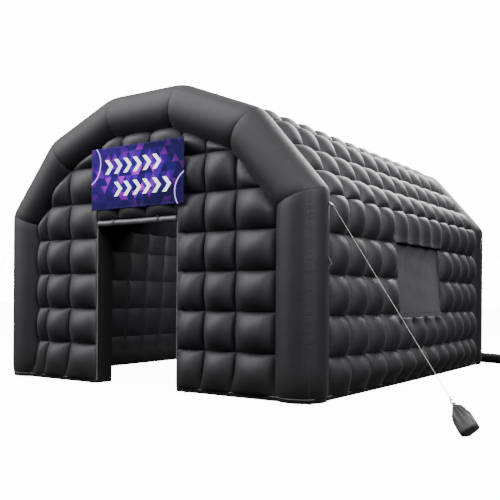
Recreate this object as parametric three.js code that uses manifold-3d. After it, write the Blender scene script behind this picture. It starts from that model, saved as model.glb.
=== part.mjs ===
// Inflatable party tent: two blown-up arch tubes at its ends, and quilted walls and roof between them.
// Millimetres, +Z up. The door is at -Y, the window at +X, and the origin is on the ground at the
// centre of the tent's footprint.

import * as THREE from "three";
import { mergeVertices } from "three/addons/utils/BufferGeometryUtils.js";
import Module from "manifold-3d";

const wasm = await Module();
wasm.setup();

// Driving dimensions of the tent
const HALF_WIDTH = 2360;
const HALF_LENGTH = 2935;
const EAVE_HEIGHT = 2180;
const KNEE = { x: 1570, z: 3090 };
const RIDGE = { x: 540, z: 3500 };
const TUBE_RADIUS = 275;
const GAP = 0.3;

// Quilted cells: how thick the walls are, how far the cells swell and where their seams run
const SKIN_INSET = 55;
const END_WALL_INSET = 75;
const WALL = 250;
const OUTER_SWELL = 75;
const INNER_SWELL = 50;
const BOW = 145;
const HEM = 40;
const HEM_BOW_SHARE = 0.15;
const ROW = EAVE_HEIGHT / 5;
const ROW_SEAM_LEVEL = 0.4;
const EAVE_SEAM_LEVEL = 0.45;
const SIDE_COLUMNS = 12;
const SIDE_SEAM_END = 2448;
const SIDE_SKIN_END = 2520;
const END_COLUMNS = 9;
const END_SEAM_EDGE = 1890;
const CREST_START = 0.27;

// Door, window, banner
const DOOR = { left: -680, right: 580, height: 1990 };
// Seams between the front wall's columns, to the left of the door, over it and to its right
const FRONT_SEAMS = { left: [-1646, -1240], over: [-329, 109], right: [914, 1329] };
const WINDOW = { firstColumn: 4, lastColumn: 8, rearEdge: 610, firstRow: 2, lastRow: 4 };
const BANNER = { x: 10, width: 1440, height: 735, bottom: 2095 };
const SHEET = 3;

const FABRIC = { color: 0x1c1c1f, roughness: 0.55, metalness: 0 };
const WEBBING = { color: 0x141416, roughness: 0.8, metalness: 0 };
const STEEL = { color: 0xc8c8cc, roughness: 0.3, metalness: 1 };
const ROPE = { color: 0xe6e6e2, roughness: 0.8, metalness: 0 };
const PRINT = { color: 0x3a1a8c, roughness: 0.45, metalness: 0 };

const tent = new THREE.Group();

function addPiece(name, geometry, finish) {
  const mesh = new THREE.Mesh(geometry, new THREE.MeshStandardMaterial(finish));
  mesh.name = name;
  tent.add(mesh);
  return mesh;
}

// Closed bodies

function bare(geometry) {
  const copy = geometry.clone();
  copy.deleteAttribute("normal");
  copy.deleteAttribute("uv");
  return mergeVertices(copy, 1e-4);
}

function signedVolume(geometry) {
  const { array } = geometry.getAttribute("position");
  const corners = geometry.index.array;
  const [a, b, c] = [new THREE.Vector3(), new THREE.Vector3(), new THREE.Vector3()];
  let volume = 0;
  for (let i = 0; i < corners.length; i += 3) {
    a.fromArray(array, corners[i] * 3);
    b.fromArray(array, corners[i + 1] * 3);
    c.fromArray(array, corners[i + 2] * 3);
    volume += a.dot(b.cross(c)) / 6;
  }
  return volume;
}

// Moves every point of a box or cylinder to its place on the tent, and keeps the faces outwards
function reshape(geometry, place) {
  const body = bare(geometry);
  const points = body.getAttribute("position");
  for (let i = 0; i < points.count; i += 1) {
    points.setXYZ(i, ...place(points.getX(i), points.getY(i), points.getZ(i)));
  }
  if (signedVolume(body) < 0) {
    body.index.array.reverse();
  }
  return body;
}

// Triangles that have closed up to a line are left out
function openTriangles(corners) {
  const kept = [];
  for (let i = 0; i < corners.length; i += 3) {
    const [a, b, c] = corners.slice(i, i + 3);
    if (a !== b && b !== c && c !== a) {
      kept.push(a, b, c);
    }
  }
  return new Uint32Array(kept);
}

function toSolid(geometry) {
  const body = bare(geometry);
  return new wasm.Manifold(
    new wasm.Mesh({
      numProp: 3,
      vertProperties: new Float32Array(body.getAttribute("position").array),
      triVerts: openTriangles(body.index.array),
    }),
  );
}

function toGeometry(solid) {
  const { vertProperties, triVerts } = solid.getMesh();
  const geometry = new THREE.BufferGeometry();
  geometry.setAttribute("position", new THREE.BufferAttribute(new Float32Array(vertProperties), 3));
  geometry.setIndex(new THREE.BufferAttribute(new Uint32Array(triVerts), 1));
  return geometry;
}

// The tent's outline, seen from the front

const OUTLINE = [
  { x: -HALF_WIDTH, z: 0 },
  { x: -HALF_WIDTH, z: EAVE_HEIGHT },
  { x: -KNEE.x, z: KNEE.z },
  { x: -RIDGE.x, z: RIDGE.z },
  { x: RIDGE.x, z: RIDGE.z },
  { x: KNEE.x, z: KNEE.z },
  { x: HALF_WIDTH, z: EAVE_HEIGHT },
  { x: HALF_WIDTH, z: 0 },
];
const SIDES = OUTLINE.length - 1;

function sideNormal(side) {
  const from = OUTLINE[side];
  const to = OUTLINE[side + 1];
  return new THREE.Vector2(from.z - to.z, to.x - from.x).normalize();
}

// A corner of the outline, moved inwards so that both sides that meet there move by the inset
function cornerAt(index, inset) {
  const { x, z } = OUTLINE[index];
  const before = sideNormal(Math.max(index - 1, 0));
  const after = sideNormal(Math.min(index, SIDES - 1));
  const shift = before.clone().add(after).divideScalar(1 + before.dot(after));
  return { x: x - shift.x * inset, z: z - shift.y * inset };
}

// A share of the way along a side between the bisectors at its two corners
function outlinePoint(side, share, inset) {
  const from = cornerAt(side, inset);
  const to = cornerAt(side + 1, inset);
  return { x: from.x + (to.x - from.x) * share, z: from.z + (to.z - from.z) * share };
}

function sideLength(side) {
  const from = OUTLINE[side];
  const to = OUTLINE[side + 1];
  return Math.hypot(to.x - from.x, to.z - from.z);
}

// The point straight inwards of a distance along a side
function facePoint(side, at, inset) {
  const from = OUTLINE[side];
  const to = OUTLINE[side + 1];
  const share = at / sideLength(side);
  const normal = sideNormal(side);
  return {
    x: from.x + (to.x - from.x) * share - normal.x * inset,
    z: from.z + (to.z - from.z) * share - normal.y * inset,
  };
}

// Arch tubes

const TUBE_SIDES = 16;
const ARCH_Y = HALF_LENGTH - TUBE_RADIUS;
const MITRE_PINCH = 0.97;
const FOOT_PINCH = 0.94;
const SWELL_LENGTH = 110;

// Loops along one length of tube: where each lies, and how full the tube is there
function tubeLoops(side) {
  const length = sideLength(side);
  const loops = [
    { along: GAP / 2, fullness: MITRE_PINCH },
    { along: SWELL_LENGTH, fullness: 1 },
    { along: length - SWELL_LENGTH, fullness: 1 },
    { along: length - GAP / 2, fullness: MITRE_PINCH },
  ];
  if (side === 0) {
    loops.splice(0, 1, { along: 0, fullness: FOOT_PINCH }, { along: HEM, fullness: FOOT_PINCH });
  }
  if (side === SIDES - 1) {
    loops.splice(3, 1, { along: length - HEM, fullness: FOOT_PINCH }, { along: length, fullness: FOOT_PINCH });
  }
  return loops.map((loop) => ({ share: loop.along / length, fullness: loop.fullness }));
}

// One length of an arch. The body to trim the walls and the roof with is a gap larger all round.
function tubeLength(side, centreY, margin = 0) {
  const loops = tubeLoops(side);
  const steps = loops.length - 1;
  const column = new THREE.CylinderGeometry(1, 1, 1, TUBE_SIDES, steps);
  return reshape(column, (outward, along, depth) => {
    const loop = Math.round((along + 0.5) * steps);
    const { share, fullness } = loops[loop];
    const radius = TUBE_RADIUS * fullness + margin;
    const past = (loop === 0 ? -2 : 0) + (loop === steps ? 2 : 0);
    const stretched = share + (past * margin) / sideLength(side);
    const { x, z } = outlinePoint(side, stretched, TUBE_RADIUS - radius * outward);
    return [x, centreY + radius * depth, z];
  });
}

const TUBE_NAMES = ["left_leg", "left_eave", "left_slope", "top", "right_slope", "right_eave", "right_leg"];
const ARCHES = [
  { name: "front_arch", y: -ARCH_Y },
  { name: "rear_arch", y: ARCH_Y },
];
for (const arch of ARCHES) {
  TUBE_NAMES.forEach((name, side) => {
    addPiece(`${arch.name}_${name}`, tubeLength(side, arch.y), FABRIC);
  });
}
const cutters = ARCHES.map((arch) => TUBE_NAMES.map((_, side) => toSolid(tubeLength(side, arch.y, GAP))));

function trimByArches(solid, arches) {
  return arches.flat().reduce((rest, cutter) => rest.subtract(cutter), solid).asOriginal();
}

// Quilted panels

// Row seams across a panel: each cell is full at its middle and drawn in at the seams by their levels
function rowLines(seams, levels) {
  const lines = [];
  seams.forEach((at, i) => {
    lines.push({ at, rise: levels[i] });
    if (i + 1 < seams.length && levels[i] + levels[i + 1] > 0) {
      lines.push({ at: (at + seams[i + 1]) / 2, rise: 1 });
    }
  });
  return lines;
}

// Column seams: the fabric is drawn in all the way, and the cells between are round. A narrow cell
// swells less than a full one, and a strip too narrow to swell stays flat.
const FLAT_STRIP = 200;
const FULL_COLUMN = 380;

function columnLines(seams) {
  const lines = [];
  seams.slice(0, -1).forEach((at, i) => {
    const width = seams[i + 1] - at;
    lines.push({ at, rise: 0 });
    if (width > FLAT_STRIP) {
      const rise = Math.min(1, width / FULL_COLUMN);
      lines.push({ at: at + width * CREST_START, rise });
      lines.push({ at: at + width * (1 - CREST_START), rise });
    }
  });
  lines.push({ at: seams.at(-1), rise: 0 });
  return lines;
}

// Moves every line onto the nearest of those that are kept
function snapLines(lines, isKept) {
  const kept = lines.filter(isKept);
  const distance = (line, other) => Math.abs(line.at - other.at);
  return lines.map((line) => kept.reduce((best, k) => (distance(line, k) < distance(line, best) ? k : best)));
}

// A panel is a box whose outer face is raised in its points to the cells' shape. Its inner face has
// the columns of the side walls, or lies at its cells' mean height.
function quiltedPanel(rows, seams, inset, place, riseShare = () => 1, plainInside = true) {
  const columns = columnLines(seams);
  const rowSteps = rows.length - 1;
  const columnSteps = columns.length - 1;
  const innerRows = snapLines(rows, (row, i) => i === 0 || i === rowSteps || row.bends);
  const innerColumns = snapLines(columns, (column) => !plainInside || column.rise === 0);
  const box = new THREE.BoxGeometry(1, 1, 1, rowSteps, columnSteps, 1);
  const panel = reshape(box, (u, v, side) => {
    const isFace = side > 0;
    const row = (isFace ? rows : innerRows)[Math.round((u + 0.5) * rowSteps)];
    const column = (isFace ? columns : innerColumns)[Math.round((v + 0.5) * columnSteps)];
    const outerRise = row.rise * column.rise * riseShare(column.at, row.at);
    const innerRise = plainInside ? 0.5 : column.rise;
    const depth = isFace ? inset - OUTER_SWELL * outerRise : inset + WALL + INNER_SWELL * innerRise;
    return place(row.at, column.at, depth);
  });
  return toSolid(panel);
}

function evenSeams(from, to, count) {
  return Array.from({ length: count + 1 }, (_, i) => from + ((to - from) * i) / count);
}

// Side walls and roof: the same column seams run up one side, over the roof and down the other

const sideSeams = [-SIDE_SKIN_END, ...evenSeams(-SIDE_SEAM_END, SIDE_SEAM_END, SIDE_COLUMNS), SIDE_SKIN_END];

// The walls lean out most at the middle of their length, at the middle of their lowest cells
function wallBow(y, height) {
  const alongWall = 1 - (y / SIDE_SKIN_END) ** 2;
  const low = (HEM + ROW) / 2;
  const upHem = Math.max(0, height - HEM) / (low - HEM);
  const upWall = (EAVE_HEIGHT - height) / (EAVE_HEIGHT - low);
  return BOW * alongWall * Math.min(HEM_BOW_SHARE + (1 - HEM_BOW_SHARE) * upHem, upWall);
}

// The ends of a panel that meet another panel at a corner of the outline follow the bisector there
function skinPanel(side, rows, seams) {
  const length = sideLength(side);
  const isWall = side === 0 || side === SIDES - 1;
  const place = (at, y, depth) => {
    const height = side === 0 ? at : length - at;
    const inset = isWall ? depth - wallBow(y, height) : depth;
    const startsAtBisector = at < 1 && side > 0;
    const endsAtBisector = at > length - 1 && side < SIDES - 1;
    const onBisector = startsAtBisector || endsAtBisector;
    const { x, z } = onBisector ? outlinePoint(side, at / length, inset) : facePoint(side, at, inset);
    return [x, y, z];
  };
  const panel = quiltedPanel(rows, seams, SKIN_INSET, place, () => 1, !isWall);
  return toGeometry(trimByArches(panel, cutters));
}

const WALL_SEAMS = [0, HEM, ROW, 2 * ROW, 3 * ROW, 4 * ROW, EAVE_HEIGHT - GAP / 2];
const WALL_LEVELS = [0, 0, ...Array(3).fill(ROW_SEAM_LEVEL), ROW_SEAM_LEVEL, EAVE_SEAM_LEVEL];

// The walls' bow changes at the hem and at the middle of the lowest cells
function wallRowLines(seams, levels) {
  const bends = [HEM, (HEM + ROW) / 2];
  return rowLines(seams, levels).map((row) => ({ ...row, bends: bends.includes(row.at) }));
}

// Rows of the right wall are counted down from the eave, because its side of the outline runs down
function downwards(seams, levels) {
  return wallRowLines(seams, levels).map((row) => ({ ...row, at: EAVE_HEIGHT - row.at })).reverse();
}

addPiece("side_wall_left", skinPanel(0, wallRowLines(WALL_SEAMS, WALL_LEVELS), sideSeams), FABRIC);

// Right wall, in five pieces about the window, which ends part of the way along its last column
const rightWall = SIDES - 1;
const windowFront = sideSeams[WINDOW.firstColumn + 1];
const windowRear = sideSeams[WINDOW.lastColumn + 1];
const windowBottom = WINDOW.firstRow * ROW;
const windowTop = WINDOW.lastRow * ROW;
const SILL_HEM = 46;
const WINDOW_HEAD_LEVEL = 0.7;
const wallRows = downwards(WALL_SEAMS, WALL_LEVELS);
const frontSeams = [...sideSeams.slice(0, WINDOW.firstColumn + 1), windowFront - GAP / 2];
const rearSeams = [windowRear + GAP / 2, ...sideSeams.slice(WINDOW.lastColumn + 2)];
const innerSeams = sideSeams.slice(WINDOW.firstColumn + 2, WINDOW.lastColumn + 1);
const middleSeams = [windowFront + GAP / 2, ...innerSeams, windowRear - GAP / 2];
const underRows = downwards(
  [0, HEM, ROW, windowBottom - SILL_HEM, windowBottom],
  [0, 0, ROW_SEAM_LEVEL, 0, 0],
);
const besideRows = downwards(
  [windowBottom + GAP, 3 * ROW, windowTop - GAP],
  [ROW_SEAM_LEVEL / 2, ROW_SEAM_LEVEL, ROW_SEAM_LEVEL],
);
const overRows = downwards([windowTop, EAVE_HEIGHT - GAP / 2], [WINDOW_HEAD_LEVEL, EAVE_SEAM_LEVEL]);
const besideSeams = [WINDOW.rearEdge + GAP, windowRear - GAP / 2];
addPiece("side_wall_right_front", skinPanel(rightWall, wallRows, frontSeams), FABRIC);
addPiece("side_wall_right_rear", skinPanel(rightWall, wallRows, rearSeams), FABRIC);
addPiece("side_wall_right_under_window", skinPanel(rightWall, underRows, middleSeams), FABRIC);
addPiece("side_wall_right_over_window", skinPanel(rightWall, overRows, middleSeams), FABRIC);
addPiece("side_wall_right_beside_window", skinPanel(rightWall, besideRows, besideSeams), FABRIC);

// Roof, three rows of cells to each of its five faces
const ROOF_NAMES = ["left_eave", "left_slope", "top", "right_slope", "right_eave"];
ROOF_NAMES.forEach((name, i) => {
  const side = i + 1;
  const length = sideLength(side);
  const seams = evenSeams(GAP / 2, length - GAP / 2, 3);
  const startLevel = side === 1 ? EAVE_SEAM_LEVEL : ROW_SEAM_LEVEL;
  const endLevel = side === SIDES - 2 ? EAVE_SEAM_LEVEL : ROW_SEAM_LEVEL;
  const rows = rowLines(seams, [startLevel, ROW_SEAM_LEVEL, ROW_SEAM_LEVEL, endLevel]);
  addPiece(`roof_${name}`, skinPanel(side, rows, sideSeams), FABRIC);
});

// End walls, cut to the arch

const END_WALL_TOP = RIDGE.z - TUBE_RADIUS;
const END_SKIN_EDGE = HALF_WIDTH - TUBE_RADIUS;

function archInside() {
  const shape = new THREE.Shape(OUTLINE.map((_, i) => {
    const { x, z } = cornerAt(i, TUBE_RADIUS);
    return new THREE.Vector2(x, z - (i === 0 || i === SIDES ? 1 : 0));
  }));
  const block = new THREE.ExtrudeGeometry(shape, { depth: 2 * HALF_LENGTH + 200, bevelEnabled: false });
  block.rotateX(Math.PI / 2);
  block.translate(0, HALF_LENGTH + 100, 0);
  return toSolid(block);
}

const insideArch = archInside();

// The cells of an end wall are drawn in where it meets the arch
const ARCH_SEAM = TUBE_RADIUS + Math.sqrt(TUBE_RADIUS ** 2 - (TUBE_RADIUS - END_WALL_INSET) ** 2);
const ARCH_FADE = 130;

function insetInArch(x, z) {
  const insets = OUTLINE.slice(0, SIDES).map((corner, side) => {
    const normal = sideNormal(side);
    return (corner.x - x) * normal.x + (corner.z - z) * normal.y;
  });
  return Math.min(...insets);
}

function archFade(x, z) {
  return THREE.MathUtils.clamp((insetInArch(x, z) - ARCH_SEAM) / ARCH_FADE, 0, 1);
}

// facing is -1 for the front wall and +1 for the rear wall
function endPanel(rows, seams, facing) {
  const place = (z, x, depth) => [x, facing * (HALF_LENGTH - depth), z];
  const panel = quiltedPanel(rows, seams, END_WALL_INSET, place, archFade);
  const arch = facing < 0 ? cutters[0] : cutters[1];
  return toGeometry(trimByArches(panel.intersect(insideArch), arch));
}

const END_SEAMS = [0, HEM, ...evenSeams(ROW, 7 * ROW, 6), END_WALL_TOP + 1];
const END_LEVELS = [0, 0, ...Array(END_SEAMS.length - 2).fill(ROW_SEAM_LEVEL)];
const endRows = rowLines(END_SEAMS, END_LEVELS);
const rightSeams = [DOOR.right + GAP / 2, ...FRONT_SEAMS.right, END_SEAM_EDGE, END_SKIN_EDGE];
addPiece("front_wall_right_of_door", endPanel(endRows, rightSeams, -1), FABRIC);
const leftSeams = [-END_SKIN_EDGE, -END_SEAM_EDGE, ...FRONT_SEAMS.left, DOOR.left - GAP / 2];
addPiece("front_wall_left_of_door", endPanel(endRows, leftSeams, -1), FABRIC);

const overDoorRows = rowLines(
  [DOOR.height, EAVE_HEIGHT, 6 * ROW, 7 * ROW, END_WALL_TOP + 1],
  [0.1, ROW_SEAM_LEVEL, ROW_SEAM_LEVEL, ROW_SEAM_LEVEL, ROW_SEAM_LEVEL],
);
const overDoorSeams = [DOOR.left + GAP / 2, ...FRONT_SEAMS.over, DOOR.right - GAP / 2];
addPiece("front_wall_over_door", endPanel(overDoorRows, overDoorSeams, -1), FABRIC);

const rearColumnSeams = [-END_SKIN_EDGE, ...evenSeams(-END_SEAM_EDGE, END_SEAM_EDGE, END_COLUMNS), END_SKIN_EDGE];
addPiece("rear_wall", endPanel(endRows, rearColumnSeams, 1), FABRIC);

// Window: a sheet that fills the opening, the strip that holds its lower edge, and two toggles

const SHEET_STEPS = 8;
const FLAP_TOP_SINK = 14;
const FLAP_BOTTOM_SINK = 2;

function wallFace(y, z) {
  return HALF_WIDTH - SKIN_INSET + wallBow(y, z);
}

function wallSheet(bottom, top, start, end, upSteps, sinkAt) {
  const sheet = new THREE.BoxGeometry(1, 1, 1, 1, SHEET_STEPS, upSteps);
  return reshape(sheet, (across, along, up) => {
    const y = start + (end - start) * (along + 0.5);
    const z = bottom + (top - bottom) * (up + 0.5);
    return [wallFace(y, z) - sinkAt(z) + SHEET * (across - 0.5), y, z];
  });
}

function flapSink(z) {
  const share = (z - windowBottom) / (windowTop - windowBottom);
  return FLAP_BOTTOM_SINK + (FLAP_TOP_SINK - FLAP_BOTTOM_SINK) * share;
}

const flapFront = windowFront + GAP / 2;
const flapRear = WINDOW.rearEdge;
const flap = wallSheet(windowBottom + GAP, windowTop - GAP, flapFront, flapRear, 4, flapSink);
addPiece("window_flap", flap, FABRIC);
const stripBottom = windowBottom - SILL_HEM + 6;
const stripSink = () => -(SHEET + 1);
const strip = wallSheet(stripBottom, windowBottom + 12, flapFront + 8, flapRear - 4, 1, stripSink);
addPiece("window_sill_strip", strip, WEBBING);

const TOGGLE = { radius: 7, length: 34, z: windowTop - 24 };
[-500, 220].forEach((y, i) => {
  const toggle = new THREE.CylinderGeometry(TOGGLE.radius, TOGGLE.radius, TOGGLE.length, 8);
  toggle.rotateX(Math.PI / 2);
  const x = wallFace(y, TOGGLE.z) - flapSink(TOGGLE.z) + SHEET / 2 + TOGGLE.radius + GAP;
  toggle.translate(x, y, TOGGLE.z);
  addPiece(`window_toggle_${i + 1}`, toggle, WEBBING);
});

// Banner over the door: a printed sheet that lies on the cells' crests

const bannerSheet = new THREE.BoxGeometry(BANNER.width, SHEET, BANNER.height);
bannerSheet.translate(BANNER.x, -HALF_LENGTH - GAP - SHEET / 2, BANNER.bottom + BANNER.height / 2);
addPiece("banner", bannerSheet, PRINT);

// Door flap, rolled up under the wall over the door and tied twice

const ROLL = { radius: 36, y: -(HALF_LENGTH - END_WALL_INSET - 6), z: 1944, left: -668, right: 570 };
const TIES = [-400, 300];
const TIE = { width: 18, pinch: 8, clearance: 1 };
const HANGING_EDGE_SHIFT = 20;

// Distance along the roll, and its radius there
const rollProfile = [
  { at: ROLL.left, radius: 0 },
  { at: ROLL.left, radius: ROLL.radius - 8 },
  { at: ROLL.left + 30, radius: ROLL.radius },
  ...TIES.flatMap((at) => [
    { at: at - 60, radius: ROLL.radius },
    { at: at - TIE.width, radius: ROLL.radius - TIE.pinch },
    { at: at + TIE.width, radius: ROLL.radius - TIE.pinch },
    { at: at + 60, radius: ROLL.radius },
  ]),
  { at: ROLL.right - 30, radius: ROLL.radius },
  { at: ROLL.right, radius: ROLL.radius - 8 },
  { at: ROLL.right, radius: 0 },
];
const rollPoints = rollProfile.map(({ at, radius }) => new THREE.Vector2(radius, at));
const roll = new THREE.LatheGeometry(rollPoints, 14);
roll.rotateZ(-Math.PI / 2);
roll.translate(0, ROLL.y, ROLL.z);
const hangingTop = DOOR.height - GAP;
const hangingEdge = new THREE.BoxGeometry(ROLL.right - ROLL.left - 20, SHEET, hangingTop - ROLL.z);
const rollMiddle = (ROLL.left + ROLL.right) / 2;
hangingEdge.translate(rollMiddle, ROLL.y + HANGING_EDGE_SHIFT, (hangingTop + ROLL.z) / 2);
const rollBody = reshape(roll, (x, y, z) => [x, y, z]);
addPiece("door_flap_rolled", toGeometry(toSolid(rollBody).add(toSolid(hangingEdge))), FABRIC);

// Each tie goes down from the wall, round under the roll and up to the wall again
function halfRound(radius) {
  return Array.from({ length: 11 }, (_, i) => {
    const turn = Math.PI * (1 + i / 10);
    return new THREE.Vector2(radius * Math.cos(turn), radius * Math.sin(turn));
  });
}

TIES.forEach((at, i) => {
  const inner = ROLL.radius - TIE.pinch + TIE.clearance;
  const outer = inner + SHEET;
  const top = hangingTop - ROLL.z;
  const section = new THREE.Shape([
    new THREE.Vector2(-outer, top),
    ...halfRound(outer),
    new THREE.Vector2(outer, top),
    new THREE.Vector2(inner, top),
    ...halfRound(inner).reverse(),
    new THREE.Vector2(-inner, top),
  ]);
  const band = new THREE.ExtrudeGeometry(section, { depth: TIE.width, bevelEnabled: false });
  const tie = reshape(band, (y, z, along) => [at + along - TIE.width / 2, ROLL.y + y, ROLL.z + z]);
  addPiece(`door_flap_tie_${i + 1}`, tie, WEBBING);
});

// Webbing on the legs. A facet of a leg is flat, so each piece is made on a flat face and turned:
// x is away from the facet, y along it and z up.

const LEG_X = HALF_WIDTH - TUBE_RADIUS;
const FACET = 360 / TUBE_SIDES;
const FACET_DISTANCE = TUBE_RADIUS * Math.cos(THREE.MathUtils.degToRad(FACET / 2));

// The facet next to straight outwards. side is +1 for right, and end is -1 for front.
function legPoint(side, end, out, along, height) {
  const turn = THREE.MathUtils.degToRad(FACET / 2);
  const x = Math.cos(turn) * (FACET_DISTANCE + out) - Math.sin(turn) * along;
  const y = Math.sin(turn) * (FACET_DISTANCE + out) + Math.cos(turn) * along;
  return [side * (LEG_X + x), end * (ARCH_Y - y), height];
}

function onLeg(geometry, side, end, height) {
  return reshape(geometry, (out, along, up) => legPoint(side, end, out, along, height + up));
}

// Grip handle: a strap whose middle stands off the leg
const HANDLE = { width: 36, standOff: 30, half: 72, foot: 26, height: 1415 };

function handleEdge(extra) {
  const rise = HANDLE.standOff + extra;
  const base = GAP + extra;
  return [
    [base, -HANDLE.half],
    [base, -HANDLE.half + HANDLE.foot],
    [base + 0.45 * rise, -34],
    [base + 0.85 * rise, -18],
    [base + rise, 0],
    [base + 0.85 * rise, 18],
    [base + 0.45 * rise, 34],
    [base, HANDLE.half - HANDLE.foot],
    [base, HANDLE.half],
  ].map(([out, up]) => new THREE.Vector2(out, up));
}

const handleSection = new THREE.Shape([...handleEdge(SHEET), ...handleEdge(0).reverse()]);
const handleBand = new THREE.ExtrudeGeometry(handleSection, { depth: HANDLE.width, bevelEnabled: false });
const handle = reshape(handleBand, (out, up, along) => [out, along - HANDLE.width / 2, up]);
addPiece("grip_handle_right", onLeg(handle, 1, -1, HANDLE.height), WEBBING);

// Guy tabs: a strap with a sleeve across its top, and a steel ring through the sleeve
const GUY = { strapWidth: 48, strapLength: 180, height: 2030 };
const SLEEVE = { radius: 11, bore: 7.5, length: 18 };
const GUY_RING = { radius: 26, wire: 4 };
const GUY_RING_TILT = THREE.MathUtils.degToRad(40);
const SLEEVE_OUT = SLEEVE.radius + GAP;
const RING_LEAN = new THREE.Vector2(Math.cos(GUY_RING_TILT), -Math.sin(GUY_RING_TILT));

function guyTab() {
  const ring = new THREE.Shape().absarc(0, 0, SLEEVE.radius, 0, 2 * Math.PI);
  ring.holes.push(new THREE.Path().absarc(0, 0, SLEEVE.bore, 0, 2 * Math.PI, true));
  const tube = new THREE.ExtrudeGeometry(ring, { depth: SLEEVE.length, bevelEnabled: false, curveSegments: 6 });
  const sleeve = reshape(tube, (x, y, along) => [SLEEVE_OUT + x, along - SLEEVE.length / 2, y]);
  const strap = new THREE.BoxGeometry(SHEET, GUY.strapWidth, GUY.strapLength);
  strap.translate(GAP + SHEET / 2, 0, -GUY.strapLength / 2);
  return toGeometry(toSolid(strap).add(toSolid(sleeve)));
}

const CORNERS = [
  { name: "front_right", side: 1, end: -1 },
  { name: "front_left", side: -1, end: -1 },
  { name: "rear_right", side: 1, end: 1 },
  { name: "rear_left", side: -1, end: 1 },
];

function guyRing(wire, wireSides, side, end) {
  const ring = new THREE.TorusGeometry(GUY_RING.radius, wire, wireSides, 12);
  ring.rotateY(GUY_RING_TILT);
  ring.translate(SLEEVE_OUT + GUY_RING.radius * RING_LEAN.x, 0, GUY_RING.radius * RING_LEAN.y);
  return onLeg(ring, side, end, GUY.height);
}

for (const { name, side, end } of CORNERS) {
  addPiece(`guy_tab_${name}`, onLeg(guyTab(), side, end, GUY.height), WEBBING);
  addPiece(`guy_ring_${name}`, guyRing(GUY_RING.wire, 6, side, end), STEEL);
}

// Ground tabs: straps with an eyelet, sewn under the front's edge
const GROUND_TAB = { width: 34, length: 62, eyelet: 9 };
const FRONT_HEM = -HALF_LENGTH + END_WALL_INSET;
const CORNER_HEM = (TUBE_RADIUS * FOOT_PINCH) / Math.SQRT2;
const GROUND_TABS = [
  { name: "door_left", x: -735, y: FRONT_HEM, turn: 0 },
  { name: "door_right", x: 735, y: FRONT_HEM, turn: 0 },
  { name: "corner_left", x: -LEG_X - CORNER_HEM, y: -ARCH_Y - CORNER_HEM, turn: -45 },
  { name: "corner_right", x: LEG_X + CORNER_HEM, y: -ARCH_Y - CORNER_HEM, turn: 45 },
];

for (const { name, x, y, turn } of GROUND_TABS) {
  const plate = new THREE.Shape();
  plate.moveTo(-GROUND_TAB.width / 2, 0);
  plate.lineTo(-GROUND_TAB.width / 2, -GROUND_TAB.length);
  plate.lineTo(GROUND_TAB.width / 2, -GROUND_TAB.length);
  plate.lineTo(GROUND_TAB.width / 2, 0);
  const eyeletAt = -GROUND_TAB.length + GROUND_TAB.width / 2;
  plate.holes.push(new THREE.Path().absarc(0, eyeletAt, GROUND_TAB.eyelet, 0, 2 * Math.PI, true));
  const tab = new THREE.ExtrudeGeometry(plate, { depth: SHEET, bevelEnabled: false, curveSegments: 6 });
  tab.translate(0, -GAP, 0);
  tab.rotateZ(THREE.MathUtils.degToRad(turn));
  tab.translate(x, y, 0);
  addPiece(`ground_tab_${name}`, tab, WEBBING);
}

// Guy ropes: from a ring to a clip, and a sandbag beyond it that rests on its lower edge

const ROPE_RADIUS = 3;
const ROPE_STEPS = 14;
const ROPE_SEAT = 0.4;
const CLIP = { radius: 17, wire: 5 };
const BAG = { length: 270, width: 1.12, depth: 0.88 };
const bagProfile = [
  { from: 0, radius: 0 },
  { from: 0, radius: 58 },
  { from: 20, radius: 66 },
  { from: 95, radius: 72 },
  { from: 165, radius: 62 },
  { from: 225, radius: 34 },
  { from: 255, radius: 12 },
  { from: BAG.length, radius: 15 },
  { from: BAG.length, radius: 0 },
];
const BAGS = {
  front_right: { x: 4110, y: -3600 },
  front_left: { x: -3440, y: -3180 },
  rear_right: { x: 4010, y: 3075 },
};

// The middle of a ring's wire where the rope pulls on it
function ringEnd(side, end) {
  const reach = 2 * GUY_RING.radius;
  const out = SLEEVE_OUT + reach * RING_LEAN.x;
  return new THREE.Vector3(...legPoint(side, end, out, 0, GUY.height + reach * RING_LEAN.y));
}

// Turns a body made along +Z about its base so that it points up the rope
function alongLine(geometry, base, direction) {
  const turn = new THREE.Quaternion().setFromUnitVectors(new THREE.Vector3(0, 0, 1), direction);
  return geometry.applyQuaternion(turn).translate(base.x, base.y, base.z);
}

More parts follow.
